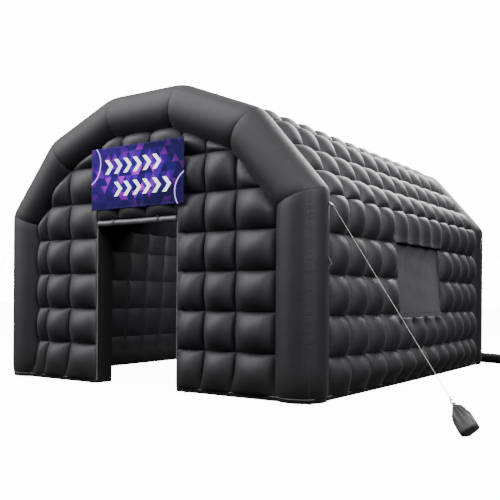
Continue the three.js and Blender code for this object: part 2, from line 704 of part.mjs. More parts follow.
for (const { name, side, end } of CORNERS.filter((corner) => corner.name in BAGS)) {
  const ring = ringEnd(side, end);
  const ground = new THREE.Vector3(BAGS[name].x, BAGS[name].y, 0);
  const up = ring.clone().sub(ground).normalize();
  const sackPoints = bagProfile.map(({ from, radius }) => new THREE.Vector2(radius, from));
  const sack = new THREE.LatheGeometry(sackPoints, 12);
  sack.rotateX(Math.PI / 2);
  sack.scale(BAG.width, BAG.depth, 1);
  const body = alongLine(reshape(sack, (x, y, z) => [x, y, z]), ground, up);
  body.computeBoundingBox();
  const lift = -body.boundingBox.min.z;
  body.translate(0, 0, lift);
  addPiece(`sandbag_${name}`, body, FABRIC);
  const neck = ground.clone().add(new THREE.Vector3(0, 0, lift)).addScaledVector(up, BAG.length + GAP);
  const clip = new THREE.TorusGeometry(CLIP.radius, CLIP.wire, 6, 12);
  clip.rotateY(Math.PI / 2);
  alongLine(clip, neck.clone().addScaledVector(up, CLIP.radius + CLIP.wire), up);
  addPiece(`rope_clip_${name}`, clip, WEBBING);
  const foot = neck.clone().addScaledVector(up, 2 * (CLIP.radius + CLIP.wire) + GAP);
  const profile = new THREE.Shape().absarc(0, 0, ROPE_RADIUS, 0, 2 * Math.PI);
  const rope = new THREE.ExtrudeGeometry(profile, {
    steps: ROPE_STEPS,
    extrudePath: new THREE.LineCurve3(ring, foot),
    curveSegments: 4,
  });
  const seat = toSolid(guyRing(GUY_RING.wire + ROPE_SEAT, 12, side, end));
  addPiece(`guy_rope_${name}`, toGeometry(toSolid(rope).subtract(seat)), ROPE);
}

// Inflation hose: a sleeve that leaves the rear wall, turns along the ground and passes the rear leg

const HOSE_RADIUS = 82;
const HOSE_LIE = HOSE_RADIUS + 0.5;
const hoseRoute = new THREE.CatmullRomCurve3(
  [
    [1480, 2750, 230],
    [1490, 2990, 200],
    [1600, 3190, 125],
    [1830, 3230, HOSE_LIE],
    [2060, 3130, HOSE_LIE],
    [2310, 3030, HOSE_LIE],
    [2600, 2915, HOSE_LIE],
    [2960, 2790, HOSE_LIE],
    [3340, 2690, HOSE_LIE],
  ].map((point) => new THREE.Vector3(...point)),
);
const hoseSection = new THREE.Shape().absarc(0, 0, HOSE_RADIUS, 0, 2 * Math.PI);
const hose = new THREE.ExtrudeGeometry(hoseSection, { steps: 20, extrudePath: hoseRoute, curveSegments: 6 });
const rearWall = tent.getObjectByName("rear_wall").geometry.clone().translate(0, GAP, 0);
addPiece("inflation_hose", toGeometry(toSolid(hose).subtract(toSolid(rearWall))), FABRIC);

export default tent;
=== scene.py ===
# Inflatable party tent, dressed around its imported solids. Metres, +Z up, door at -Y, window at +X.
import math

import bmesh
import bpy
import numpy as np
from mathutils import Matrix, Vector


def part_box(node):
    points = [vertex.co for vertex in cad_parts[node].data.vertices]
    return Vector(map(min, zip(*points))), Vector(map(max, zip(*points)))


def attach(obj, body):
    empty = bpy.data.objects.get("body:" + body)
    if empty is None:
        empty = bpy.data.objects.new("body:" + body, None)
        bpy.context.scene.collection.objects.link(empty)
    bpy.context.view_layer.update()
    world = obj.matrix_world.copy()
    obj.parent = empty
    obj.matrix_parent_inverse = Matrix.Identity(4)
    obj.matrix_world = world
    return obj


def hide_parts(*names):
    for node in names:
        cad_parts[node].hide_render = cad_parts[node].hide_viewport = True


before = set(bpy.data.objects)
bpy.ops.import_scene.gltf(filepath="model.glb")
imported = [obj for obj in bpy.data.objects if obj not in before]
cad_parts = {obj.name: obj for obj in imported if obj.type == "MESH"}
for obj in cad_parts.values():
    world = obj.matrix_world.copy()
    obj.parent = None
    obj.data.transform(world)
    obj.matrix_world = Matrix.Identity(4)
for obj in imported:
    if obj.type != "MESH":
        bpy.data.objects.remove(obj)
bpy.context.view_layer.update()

scene = bpy.context.scene

# Camera: it stands in front of the right corner, level, at about a child's eye height. The photograph's
# horizon lies below its middle, so the lens is shifted up, and its level lines fall a little to the right.
camera_data = bpy.data.cameras.new("camera")
camera_data.lens = 51.89
camera_data.sensor_width = 36
camera_data.shift_y = 0.0944
camera_data.clip_end = 300
camera = bpy.data.objects.new("camera", camera_data)
scene.collection.objects.link(camera)
camera_turn = Matrix.Rotation(math.radians(34.09), 4, "Z") @ Matrix.Rotation(math.pi / 2, 4, "X")
camera_roll = Matrix.Rotation(math.radians(0.4), 4, "Z")
camera.matrix_world = Matrix.Translation((5.795, -9.105, 1.062)) @ camera_turn @ camera_roll
scene.camera = camera


def linear(hex_colour, factor=1):
    """An sRGB hex colour as linear red, green, blue and alpha, made darker or lighter by a factor."""
    parts = [int(hex_colour[i:i + 2], 16) / 255 for i in (1, 3, 5)]
    return [factor * (p / 12.92 if p <= 0.04045 else ((p + 0.055) / 1.055) ** 2.4) for p in parts] + [1]


def add_node(tree, kind, inputs=None, **settings):
    """Adds a node with its settings. An input is linked where it is given a socket, and otherwise set."""
    node = tree.nodes.new(kind)
    for name, value in settings.items():
        setattr(node, name, value)
    for name, value in (inputs or {}).items():
        if isinstance(value, bpy.types.NodeSocket):
            tree.links.new(value, node.inputs[name])
        else:
            node.inputs[name].default_value = value
    return node


def new_material(name, colour, roughness, metallic=0.0, **shader_values):
    """A material with a Principled shader, whose plain numbers are set on the shader itself."""
    material = bpy.data.materials.new(name)
    material.use_nodes = True
    tree = material.node_tree
    tree.nodes.clear()
    values = {"Base Color": linear(colour), "Roughness": roughness, "Metallic": metallic}
    values.update({key.replace("_", " "): value for key, value in shader_values.items()})
    shader = add_node(tree, "ShaderNodeBsdfPrincipled", values)
    add_node(tree, "ShaderNodeOutputMaterial", {"Surface": shader.outputs[0]})
    material.diffuse_color = linear(colour)
    return material, tree, shader


# Studio: a pale floor under a white backdrop that lights from above. Large soft lamps stand over the
# front, at both sides and behind, and a small dim one hangs inside. None of it is part of the tent.
floor_mesh = bpy.data.meshes.new("studio_floor")
floor_mesh.from_pydata([(-90, -90, 0), (90, -90, 0), (90, 90, 0), (-90, 90, 0)], [], [(0, 1, 2, 3)])
floor = bpy.data.objects.new("studio_floor", floor_mesh)
scene.collection.objects.link(floor)
floor_mesh.materials.append(new_material(
    "white_studio_floor", "#F4F4F4", 0.9, Emission_Color=(1, 1, 1, 1), Emission_Strength=12.0)[0])
floor.visible_glossy = False
floor.visible_diffuse = False


def colour_steps(tree, value, steps):
    """A ramp through colours, each given with its place on it."""
    node = add_node(tree, "ShaderNodeValToRGB", {0: value})
    while len(node.color_ramp.elements) < len(steps):
        node.color_ramp.elements.new(0.5)
    for element, (place, colour) in zip(node.color_ramp.elements, steps):
        element.position = place
        element.color = colour
    return node.outputs[0]


world = bpy.data.worlds.new("studio")
world.use_nodes = True
scene.world = world
sky = world.node_tree
sky.nodes.clear()
sky_place = add_node(sky, "ShaderNodeTexCoord")
sky_height = add_node(sky, "ShaderNodeSeparateXYZ", {0: sky_place.outputs["Generated"]})
SKY = [
    # height above the horizon, brightness
    (0.0, 0.0), (0.08, 0.05), (0.4, 0.45), (1.0, 0.7)]
sky_shade = colour_steps(sky, sky_height.outputs["Z"], [(level, (b, b, b, 1)) for level, b in SKY])
seen = add_node(sky, "ShaderNodeLightPath")
sky_light = add_node(sky, "ShaderNodeBackground", {0: sky_shade, 1: 1.0})
sky_seen = add_node(sky, "ShaderNodeBackground", {0: (1, 1, 1, 1), 1: 15.0})
sky_mix = add_node(sky, "ShaderNodeMixShader", {
    0: seen.outputs["Is Camera Ray"], 1: sky_light.outputs[0], 2: sky_seen.outputs[0]})
add_node(sky, "ShaderNodeOutputWorld", {0: sky_mix.outputs[0]})

LAMPS = [
    # name, place, aim, size, watts
    ("lamp_top", (-2.5, -6.5, 9.0), (0, -1, 1.2), 10.0, 1150),
    ("lamp_left", (-9.0, -9.0, 6.0), (0, -2, 1.2), 8.0, 700),
    ("lamp_right", (10.0, -5.5, 7.0), (2, 0, 1.2), 8.0, 1150),
    ("lamp_rear", (2.0, 8.0, 9.0), (1.5, 0, 2.8), 7.0, 2500),
    ("lamp_inside", (0.0, -0.4, 2.6), (0, 1.2, 1.0), 1.0, 120),
]
for name, place, aim, size, watts in LAMPS:
    lamp_data = bpy.data.lights.new(name, "AREA")
    lamp_data.shape = "DISK"
    lamp_data.size = size
    lamp_data.energy = watts
    lamp = bpy.data.objects.new(name, lamp_data)
    scene.collection.objects.link(lamp)
    lamp.location = place
    lamp.visible_camera = False
    lamp.rotation_euler = (Vector(aim) - Vector(place)).to_track_quat("-Z", "Y").to_euler()


def object_space(tree):
    return add_node(tree, "ShaderNodeTexCoord").outputs["Object"]


def from_attribute(tree, name, output="Fac"):
    return add_node(tree, "ShaderNodeAttribute", attribute_name=name).outputs[output]


def noise(tree, space, scale, detail=2.0, **inputs):
    """Noise with about this many patches to a metre."""
    return add_node(tree, "ShaderNodeTexNoise", {
        "Vector": space, "Scale": scale, "Detail": detail, **inputs}).outputs[0]


def bands(tree, space, scale, distortion, way):
    """Soft bands, side by side in a direction."""
    return add_node(tree, "ShaderNodeTexWave", {
        "Vector": space, "Scale": scale, "Distortion": distortion}, bands_direction=way).outputs["Fac"]


def maths(tree, operation, *values):
    return add_node(tree, "ShaderNodeMath", dict(enumerate(values)), operation=operation).outputs[0]


def ramp(tree, value, start, stop, low, high, kind="SMOOTHSTEP"):
    """Goes from low to high while the value goes from start to stop."""
    return add_node(tree, "ShaderNodeMapRange", {
        0: value, 1: start, 2: stop, 3: low, 4: high}, interpolation_type=kind).outputs[0]


def blend(tree, share, first, second):
    """The first colour where share is 0, and the second where it is 1."""
    return add_node(tree, "ShaderNodeMix", {0: share, 6: first, 7: second}, data_type="RGBA").outputs[2]


def relief(tree, height, strength, distance, below=None):
    """Bumps of a height in metres, laid over those below them."""
    inputs = {"Height": height, "Strength": strength, "Distance": distance}
    if below:
        inputs["Normal"] = below
    return add_node(tree, "ShaderNodeBump", inputs).outputs[0]


def connect(tree, shader, **sockets):
    for name, socket in sockets.items():
        tree.links.new(socket, shader.inputs[name.replace("_", " ")])


# Guy ropes: three-strand polyester cord, white flecked with grey, tied to a ring on a leg and pulled
# taut to a sandbag on the ground, where a black plastic hook and a knot hold it.
LEG_AT = (2.085, 2.66)
FACET_TURN = math.radians(11.25)
RING_REACH = 0.320854
RING_DROP = 1.996575
CLIP_RADIUS = 0.017
CLIP_WIRE = 0.005
CLEAR = 0.0003
SACK_LENGTH = 0.270
SACK_SIDES = 96
GUYS = [
    # name, side, end
    ("front_right", 1, -1),
    ("front_left", -1, -1),
    ("rear_right", 1, 1),
]


def keep_values(mesh, key, numbers):
    """Keeps a number or a vector for each point of a mesh as an attribute."""
    numbers = np.asarray(numbers, np.float32)
    kind, field = ("FLOAT", "value") if numbers.ndim == 1 else ("FLOAT_VECTOR", "vector")
    mesh.attributes.new(key, kind, "POINT").data.foreach_set(field, numbers.ravel())


def mesh_piece(name, points, faces, material, values=None):
    """A smooth mesh at the origin. values are numbers or vectors for each point, kept as attributes."""
    mesh = bpy.data.meshes.new(name)
    mesh.from_pydata(np.asarray(points, float), [], faces)
    for key, numbers in (values or {}).items():
        keep_values(mesh, key, numbers)
    mesh.polygons.foreach_set("use_smooth", [True] * len(mesh.polygons))
    mesh.materials.append(material)
    piece = bpy.data.objects.new(name, mesh)
    scene.collection.objects.link(piece)
    return piece


def loop_faces(loops, sides, ends="closed"):
    """Faces between closed loops of points, one after another, wound to face out for loops that run
    anticlockwise about the way along. The ends are closed, or joined to each other."""
    step = np.arange((loops - 1) * sides).reshape(loops - 1, sides)
    turn = np.roll(step, -1, axis=1)
    faces = np.stack([step, turn, turn + sides, step + sides], -1).reshape(-1, 4).tolist()
    first = list(range(sides))
    last = [i + (loops - 1) * sides for i in first]
    if ends == "closed":
        faces += [first[::-1], last]
    else:
        faces += [[last[i - 1], last[i], first[i], first[i - 1]] for i in range(sides)]
    return faces


def swept(centres, radii, sides, first_side=(0, 0, 1)):
    """Loops of a round section carried along a line of centres without twisting. radii is a number, or
    one for each centre, or one for each point."""
    centres = np.asarray(centres, float)
    radii = np.asarray(radii, float)
    radii = np.broadcast_to(radii[:, None] if radii.ndim == 1 else radii, (len(centres), sides))
    ahead = np.gradient(centres, axis=0)
    ahead /= np.linalg.norm(ahead, axis=1)[:, None]
    across = np.asarray(first_side, float)
    angle = np.arange(sides) * 2 * math.pi / sides
    loops = []
    for centre, forward, radius in zip(centres, ahead, radii):
        across = across - forward * (across @ forward)
        across /= np.linalg.norm(across)
        third = np.cross(forward, across)
        loops.append(centre + (radius * np.cos(angle))[:, None] * across
                     + (radius * np.sin(angle))[:, None] * third)
    return np.concatenate(loops)


# Twisted polyester: hard bright strands with a matt, slightly soiled surface.
rope_white, tree, shader = new_material("twisted_polyester_rope", "#D9D9D4", 0.75)
rope_grain = noise(tree, object_space(tree), 60.0, 3.0)
connect(tree, shader, Base_Color=blend(tree, rope_grain, linear("#C4C4BF"), linear("#828281")),
        Normal=relief(tree, rope_grain, 0.4, 0.0008))

# Moulded nylon: black, with a dull shine and faint grain.
nylon_black, tree, shader = new_material("moulded_nylon", "#0A0A0B", 0.55)
connect(tree, shader, Normal=relief(tree, noise(tree, object_space(tree), 900.0), 0.25, 0.0004))

# Coarse charcoal canvas of a sandbag: threads about 1 mm apart, drawn 3 mm apart so that they show. The
# ridges of its folds, read from the attribute fold_ridge_sheen, are painted lighter as sheen and their
# hollows painted darker as shade, with dusty patches from noise.
sack_canvas, tree, shader = new_material("charcoal_canvas", "#161619", 0.42, Sheen_Weight=0.15)
space = object_space(tree)
sack_weave = maths(tree, "ADD", *[bands(tree, space, 330.0, 1.5, way) for way in "XZ"])
sack_dust_and_sheen = maths(tree, "MULTIPLY_ADD", noise(tree, space, 18.0, 4.0), 0.5, from_attribute(tree, "fold_ridge_sheen"))
sack_streaks = ramp(tree, sack_dust_and_sheen, 0.35, 1.25, 0.0, 1.0)
connect(tree, shader, Base_Color=blend(tree, sack_streaks, linear("#08080A"), linear("#58585E")),
        Normal=relief(tree, sack_weave, 0.35, 0.001))


def guy_rope(name, side, end):
    """One rope with its knots, hook and sandbag, between the ring on a leg and the ground."""
    ring = Vector((
        side * (LEG_AT[0] + math.cos(FACET_TURN) * RING_REACH),
        end * (LEG_AT[1] - math.sin(FACET_TURN) * RING_REACH),
        RING_DROP))
    hook_low, hook_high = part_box(f"rope_clip_{name}")
    hook_at = (hook_low + hook_high) / 2
    up = (ring - hook_at).normalized()
    hook_reach = CLIP_RADIUS + CLIP_WIRE + CLEAR
    neck, foot = hook_at - up * hook_reach, hook_at + up * hook_reach
    level = up.cross(Vector((0, 0, 1))).normalized()
    above = np.array(level.cross(up).normalized())
    turn = Vector((0, 0, 1)).rotation_difference(up).to_matrix()
    across, upwards = np.array(level), np.array(up)

    # Rope: three strands laid round each other, a turn every 30 mm
    start = ring - up * 0.0045
    length = (start - foot).length
    steps = int(length / 0.005)
    along = np.linspace(0, length, steps)
    line = np.array(start) - upwards * along[:, None]
    strand_sides = 5
    strands, strand_faces = [], []
    for strand in range(3):
        angle = along * 2 * math.pi / 0.030 + strand * 2 * math.pi / 3
        centres = line + 0.0014 * (np.cos(angle)[:, None] * across + np.sin(angle)[:, None] * above)
        first = strand * steps * strand_sides
        strand_faces += [[i + first for i in face] for face in loop_faces(steps, strand_sides)]
        strands.append(swept(centres, 0.0016, strand_sides))
    rope = mesh_piece(f"guy_rope_{name}_strands", np.concatenate(strands), strand_faces, rope_white)

    # Knots: a turn of rope round the ring and round the hook, each with a knot pulled tight beside it
    knot_size = 0.0031
    t = np.append(np.linspace(0, 2 * math.pi, 73)[:-1], 0)
    knot_form = knot_size * np.stack([
        np.sin(t) + 2 * np.sin(2 * t), np.cos(t) - 2 * np.cos(2 * t), -1.6 * np.sin(3 * t)], 1)
    for place, point, way in (("upper", start, -1), ("lower", foot, 1)):
        knot_line = knot_form @ np.array([across, above, upwards]) + np.array(point + up * way * 0.016)
        knot = mesh_piece(
            f"rope_knot_{name}_{place}", swept(knot_line, 0.0023, 8), loop_faces(73, 8), rope_white)
        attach(knot, "root")

    # Hook: a bent black rod, open at its side, with a ball at each end
    bend = np.linspace(math.radians(20), math.radians(340), 40)
    hook_line = np.array(hook_at) + CLIP_RADIUS * (
        np.cos(bend)[:, None] * across + np.sin(bend)[:, None] * upwards)
    hook_radii = 1.3 * CLIP_WIRE * (1 - 0.25 * np.cos(np.linspace(0, 2 * math.pi, 40)) ** 8)
    hook = mesh_piece(
        f"rope_hook_{name}", swept(hook_line, hook_radii, 12, first_side=above), loop_faces(40, 12),
        nylon_black)
    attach(hook, "root")
    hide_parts(f"rope_clip_{name}")

    # Sandbag: a full sack whose mouth is gathered, so folds run from the neck over a third of it
    profile = np.array([
        # distance from its base, radius
        (0.000, 0.002), (0.000, 0.048), (0.002, 0.066), (0.008, 0.0715), (0.022, 0.0735), (0.038, 0.0742),
        (0.056, 0.0745), (0.075, 0.0745), (0.095, 0.0740), (0.113, 0.0728), (0.130, 0.0706), (0.146, 0.0674),
        (0.161, 0.0628), (0.175, 0.0584), (0.188, 0.0533), (0.200, 0.0477), (0.211, 0.0420), (0.221, 0.0362),
        (0.230, 0.0305), (0.238, 0.0250), (0.245, 0.0200), (0.251, 0.0155), (0.256, 0.0122), (0.260, 0.0116),
        (0.264, 0.0134), (0.268, 0.0158), (0.270, 0.0150), (0.270, 0.0015)])
    around = np.arange(SACK_SIDES) * 2 * math.pi / SACK_SIDES
    at_share = profile[:, :1] / SACK_LENGTH
    # The full part is squared by the seams at its corners, and long folds run from the tie to its middle
    squared = (np.abs(np.cos(around)) ** 4 + np.abs(np.sin(around)) ** 4) ** -0.25
    corners = 1 + (squared[None] - 1) * 0.95 * np.clip((0.78 - at_share) / 0.35, 0, 1)
    fold_depth = np.interp(at_share, [0.0, 0.34, 0.50, 0.70, 0.90, 1.0], [0.0, 0.01, 0.09, 0.22, 0.34, 0.24])
    fold_angle = 7 * around + 1.2 * np.sin(2 * around + 0.5) + 1.5 * at_share
    ridge = 1 - np.abs(np.sin(fold_angle)) ** 0.7
    fold_shape = 2 * ridge - 1 + 0.35 * np.cos(4 * around + 1.1)
    dents = 0.020 * np.sin(3 * around + 11 * at_share) * np.sin(7 * at_share + 1)
    radii = profile[:, 1:] * (corners * 0.93 + fold_depth * fold_shape + dents)
    sack = np.stack(np.broadcast_arrays(
        radii * np.cos(around) * 1.12, radii * np.sin(around) * 0.88, profile[:, :1]), -1).reshape(-1, 3)
    sack = sack @ np.array(turn).T + np.array(neck - up * (SACK_LENGTH + CLEAR))
    # It slumps where it lies on the ground
    slump = 0.012 * np.exp(-np.clip(sack[:, 2], 0, None) / 0.035)
    sack[:, 2] = np.maximum(sack[:, 2] - slump * 0.6, 0.0004)
    # Painted sheen on the ridges of the folds and painted shade in their hollows, kept for the canvas's
    # colour
    creased = np.clip(fold_depth / 0.10, 0, 1)
    fold_ridge_sheen = (0.5 * (1 - creased) + ridge * creased).ravel()
    bag = mesh_piece(
        f"sandbag_{name}_sack", sack, loop_faces(len(profile), SACK_SIDES), sack_canvas, {"fold_ridge_sheen": fold_ridge_sheen})
    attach(bag, "root")
    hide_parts(f"sandbag_{name}")

    # Tie: cord wound three times round the sack's neck
    wind = np.linspace(0, 3 * 2 * math.pi, 90)
    tie_line = np.array(neck) - upwards * 0.019 + 0.0148 * (
        np.cos(wind)[:, None] * across * 1.1 + np.sin(wind)[:, None] * above * 0.9
    ) + upwards * (wind / (2 * math.pi) * 0.0046)[:, None]
    tie = mesh_piece(f"sandbag_tie_{name}", swept(tie_line, 0.0022, 8), loop_faces(90, 8), rope_white)
    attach(tie, "root")

    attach(rope, "root")
    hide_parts(f"guy_rope_{name}")


for name, side, end in GUYS:
    guy_rope(name, side, end)


# Tent cloth: black polyester with a coated, satin face. It is sewn in curves and blown tight, so small
# puckers run away from every seam, and the rest is smooth with shallow waves.
def tent_cloth(name, colour, roughness, pucker_depth):
    """Cloth that reads its place in metres from the attribute cloth_place, and its distance from the
    nearest cross seam and side seam from seam_near and side_near."""
    material, tree, shader = new_material(name, colour, roughness, Sheen_Weight=0.05, Sheen_Roughness=0.4)
    place, space = from_attribute(tree, "cloth_place", "Vector"), object_space(tree)
    heights = []
    for gap, stretch, reach in (("seam_near", (26, 3.5, 1), 0.11), ("side_near", (3.5, 26, 1), 0.075)):
        stretched = add_node(tree, "ShaderNodeVectorMath", {0: place, 1: stretch}, operation="MULTIPLY")
        near = ramp(tree, from_attribute(tree, gap), 0.0, reach, 1.0, 0.0)
        heights.append(maths(tree, "MULTIPLY", noise(tree, stretched.outputs[0], 1.0, Distortion=0.3), near))
    puckers = relief(tree, maths(tree, "ADD", *heights), 0.8, pucker_depth)
    waves = relief(tree, noise(tree, space, 5.0, 3.0, Roughness=0.45), 0.5, 0.009, puckers)
    # Threads are 0.6 mm apart; they are drawn 5 mm apart, as fine as the picture can show.
    threads = relief(tree, noise(tree, space, 200.0, 1.0), 0.15, 0.0012, waves)
    dust = noise(tree, space, 1.7, 5.0, Roughness=0.6)
    shade = blend(tree, dust, linear(colour, 0.75), linear(colour, 1.35))
    # Painted shade at the foot of the tent: the colour darkens to black at the hem and is full cloth 0.46 m
    # up, and the cloth there is made matt
    height = add_node(tree, "ShaderNodeSeparateXYZ", {0: space}).outputs["Z"]
    foot = ramp(tree, height, 0.06, 0.46, 0.0, 1.0)
    connect(tree, shader, Base_Color=blend(tree, foot, linear(colour, 0.04), shade), Normal=threads,
            Roughness=ramp(tree, foot, 0.0, 1.0, 0.95, roughness, "LINEAR"))
    return material


satin_cloth = tent_cloth("black_satin_polyester", "#28272C", 0.56, 0.0045)
tube_cloth = tent_cloth("black_satin_polyester_tube", "#1E1D22", 0.60, 0.0050)

# Arches: fourteen blown-up lengths of tube, cut at mitres and sewn to each other. Each length bulges
# behind its seam, which draws the cloth in, and a flat black hem runs round the foot of each leg.
HALF_WIDTH = 2.36
EAVE = 2.18
OUTLINE = np.array([
    (-HALF_WIDTH, 0), (-HALF_WIDTH, EAVE), (-1.57, 3.09), (-0.54, 3.5),
    (0.54, 3.5), (1.57, 3.09), (HALF_WIDTH, EAVE), (HALF_WIDTH, 0)])
SIDES = len(OUTLINE) - 1
TUBE_RADIUS = 0.275
HEM = 0.04
HALF_GAP = 0.00015
MITRE_PINCH = 0.955
MITRE_SWELL = 0.13
FOOT_PINCH = 0.94
HEM_PINCH = 0.925
HEM_SWELL = 0.15
NO_SEAM = 9.0
ARCHES = [("front_arch", -LEG_AT[1]), ("rear_arch", LEG_AT[1])]
TUBE_NAMES = ["left_leg", "left_eave", "left_slope", "top", "right_slope", "right_eave", "right_leg"]
TUBE_SIDES = 72
NEAR_MITRE = [HALF_GAP, 0.002, 0.006, 0.013, 0.024, 0.04, 0.062, 0.09, 0.12]
NEAR_FOOT = [0.0, 0.0385, 0.0400, 0.0415, 0.0455, 0.054, 0.07, 0.095, 0.13, 0.17]


def side_normal(side):
    """The way out of a side of the tent's outline."""
    along = OUTLINE[side + 1] - OUTLINE[side]
    return np.array([-along[1], along[0]]) / np.hypot(*along)


def side_length(side):
    return float(np.hypot(*(OUTLINE[side + 1] - OUTLINE[side])))


def corner_at(index, inset):
    """A corner of the outline moved inwards along its bisector, for insets of any shape."""
    before = side_normal(max(index - 1, 0))
    after = side_normal(min(index, SIDES - 1))
    shift = (before + after) / (1 + before @ after)
    return OUTLINE[index] - shift * np.asarray(inset, float)[..., None]


def shoulder(gap, pinch, swell):
    """How full cloth is at a distance from its seam: drawn in at the seam, with a round shoulder."""
    share = np.clip(gap / swell, 0, 1)
    return pinch + (1 - pinch) * np.sqrt(1 - (1 - share) ** 2)


def tube_form(side, along):
    """How full a length of tube is at places along it, and how far away the nearest seam is."""
    from_end = side_length(side) - along
    no_seam = np.full_like(along, NO_SEAM)
    seam_gap = np.minimum(along if side > 0 else no_seam, from_end if side < SIDES - 1 else no_seam)
    fullness = shoulder(seam_gap, MITRE_PINCH, MITRE_SWELL)
    if side in (0, SIDES - 1):
        over_hem = (along if side == 0 else from_end) - HEM
        at_foot = np.where(over_hem <= 1e-6, FOOT_PINCH, shoulder(over_hem, HEM_PINCH, HEM_SWELL))
        fullness = np.minimum(fullness, at_foot)
        seam_gap = np.minimum(seam_gap, np.abs(over_hem))
    return fullness, seam_gap


def on_tube(side, along, angle, centre_y, fullness, proud=0.0):
    """Points on a length of tube, or a little proud of it."""
    radius = TUBE_RADIUS * fullness + proud
    inset = TUBE_RADIUS - radius * np.cos(angle)
    share = (along / side_length(side))[..., None]
    flat = corner_at(side, inset) * (1 - share) + corner_at(side + 1, inset) * share
    return np.stack([flat[..., 0], centre_y + radius * np.sin(angle), flat[..., 1]], -1)


around = np.arange(TUBE_SIDES) * 2 * math.pi / TUBE_SIDES
half_way = (around + math.pi) % (2 * math.pi) - math.pi
lengthways = np.abs(np.abs(half_way) - math.radians(45)) * TUBE_RADIUS
for arch, centre_y in ARCHES:
    for side, tube_name in enumerate(TUBE_NAMES):
        length = side_length(side)
        starts = NEAR_FOOT if side == 0 else NEAR_MITRE
        ends = NEAR_FOOT if side == SIDES - 1 else NEAR_MITRE
        middle = np.linspace(0.2, length - 0.2, max(3, int(length / 0.16)))
        along = np.array([*starts, *middle, *[length - d for d in reversed(ends)]])
        fullness, seam_gap = tube_form(side, along)
        points = on_tube(side, along[:, None], around[None], centre_y, fullness[:, None])
        place = np.stack(np.broadcast_arrays(half_way * TUBE_RADIUS, along[:, None], side * 3.7), -1)
        tube = mesh_piece(
            f"{arch}_{tube_name}_tube", points.reshape(-1, 3), loop_faces(len(along), TUBE_SIDES), tube_cloth,
            {"cloth_place": place.reshape(-1, 3), "seam_near": np.repeat(seam_gap, TUBE_SIDES),
             "side_near": np.tile(lengthways, len(along))})
        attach(tube, "root")
        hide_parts(f"{arch}_{tube_name}")

# Quilted walls and roof: two skins of tent cloth with the blower's air between them, sewn together in
# rows and columns. The column seams hold the skins flat and the row seams only pinch the air columns.
SKIN_INSET = 0.055
WALL = 0.25
OUTER_SWELL = 0.075
INNER_SWELL = 0.05
CELL_ROUNDNESS = 0.62
ROW = EAVE / 5
ROW_LEVEL = 0.18
EAVE_LEVEL = 0.28
SEAM_END = 2.448
SKIN_END = 2.52
SIDE_SEAM_DEPTH = 0.070
CELL_STEPS = 14
FLAT_STRIP = 0.2
NARROW_ROW = 0.06
FULL_COLUMN = 0.38
WALL_BOW = 0.145
CORNER_REACH = 0.3
WINDOW = {"front": -0.816, "rear": 0.816, "flap_rear": 0.610, "bottom": 2 * ROW, "top": 4 * ROW}
SILL_HEM = 0.046


def geometry_tree(name, output, **inputs):
    """A tree with named inputs, each of a kind such as Float, and one output. Gives its group input."""
    tree = bpy.data.node_groups.new(name, "GeometryNodeTree")
    for label, kind in {**inputs, "Material": "Material"}.items():
        tree.interface.new_socket(
            label.replace("_", " "), in_out="INPUT", socket_type="NodeSocket" + kind)
    tree.interface.new_socket(output, in_out="OUTPUT", socket_type="NodeSocketGeometry")
    return tree, add_node(tree, "NodeGroupInput").outputs


def end_tree(tree, given, geometry):
    """Ends a tree: everything in it is made real and given its material."""
    real = add_node(tree, "GeometryNodeRealizeInstances", {0: geometry})
    clothed = add_node(tree, "GeometryNodeSetMaterial", {
        "Geometry": real.outputs[0], "Material": given["Material"]})
    add_node(tree, "NodeGroupOutput", {0: clothed.outputs[0]})
    return tree


def apply_tree(piece, tree, **inputs):
    """Runs a node tree on a piece with these named inputs, and keeps the result as a plain mesh."""
    modifier = piece.modifiers.new(tree.name, "NODES")
    modifier.node_group = tree
    for item in tree.interface.items_tree:
        if item.in_out == "INPUT" and item.name.replace(" ", "_") in inputs:
            modifier[item.identifier] = inputs[item.name.replace(" ", "_")]
    bpy.context.view_layer.update()
    graph = bpy.context.evaluated_depsgraph_get()
    result = bpy.data.meshes.new_from_object(piece.evaluated_get(graph), depsgraph=graph)
    piece.modifiers.remove(modifier)
    old = piece.data
    piece.data = result
    bpy.data.meshes.remove(old)
    return piece


def quilting_tree():
    """Blows the cells of a flat panel up. Each point knows its place in its cell, the way in which it
    rises and how high the seams at its cell's two ends stand."""
    tree, given = geometry_tree(
        "quilting", "Quilted panel", Panel="Geometry", Swell="Float", Cell_roundness="Float")

    def named(name, kind="FLOAT"):
        return add_node(
            tree, "GeometryNodeInputNamedAttribute", {"Name": name}, data_type=kind).outputs[0]

    def arch(value):
        """Rises from 0 at a seam to 1 in the middle of a cell, as round as half an ellipse."""
        both = maths(tree, "MULTIPLY", value, maths(tree, "SUBTRACT", 1.0, value))
        full = maths(tree, "MAXIMUM", maths(tree, "MULTIPLY", both, 4.0), 0.0)
        return maths(tree, "POWER", full, given["Cell roundness"])

    level = ramp(tree, named("cell_v"), 0.0, 1.0, named("level_low"), named("level_high"), "LINEAR")
    rise = maths(tree, "MULTIPLY_ADD", maths(tree, "SUBTRACT", 1.0, level), arch(named("cell_v")), level)
    dome = maths(tree, "MULTIPLY", rise, arch(named("cell_u")))
    swollen = maths(tree, "MULTIPLY", maths(tree, "MULTIPLY", dome, named("fullness")), given["Swell"])
    lift = add_node(tree, "ShaderNodeVectorMath", {
        0: named("outward", "FLOAT_VECTOR"), "Scale": swollen}, operation="SCALE")
    moved = add_node(tree, "GeometryNodeSetPosition", {
        "Geometry": given["Panel"], "Offset": lift.outputs[0]})
    return end_tree(tree, given, moved.outputs[0])


quilting = quilting_tree()

# Facing: matt black canvas binds the cut edges of the panels, such as the jambs of the doorway. Its
# near-black colour is painted shade for the shaded jambs, and it gives back almost no light. Threads are 0.5
# mm apart and are drawn 4 mm apart.
shade_black_facing, tree, shader = new_material("matt_black_canvas_facing", "#0C0C0E", 0.9)
facing_weave = noise(tree, object_space(tree), 250.0)
connect(tree, shader, Base_Color=blend(tree, facing_weave, linear("#070708"), linear("#141416")),
        Normal=relief(tree, facing_weave, 0.3, 0.001))


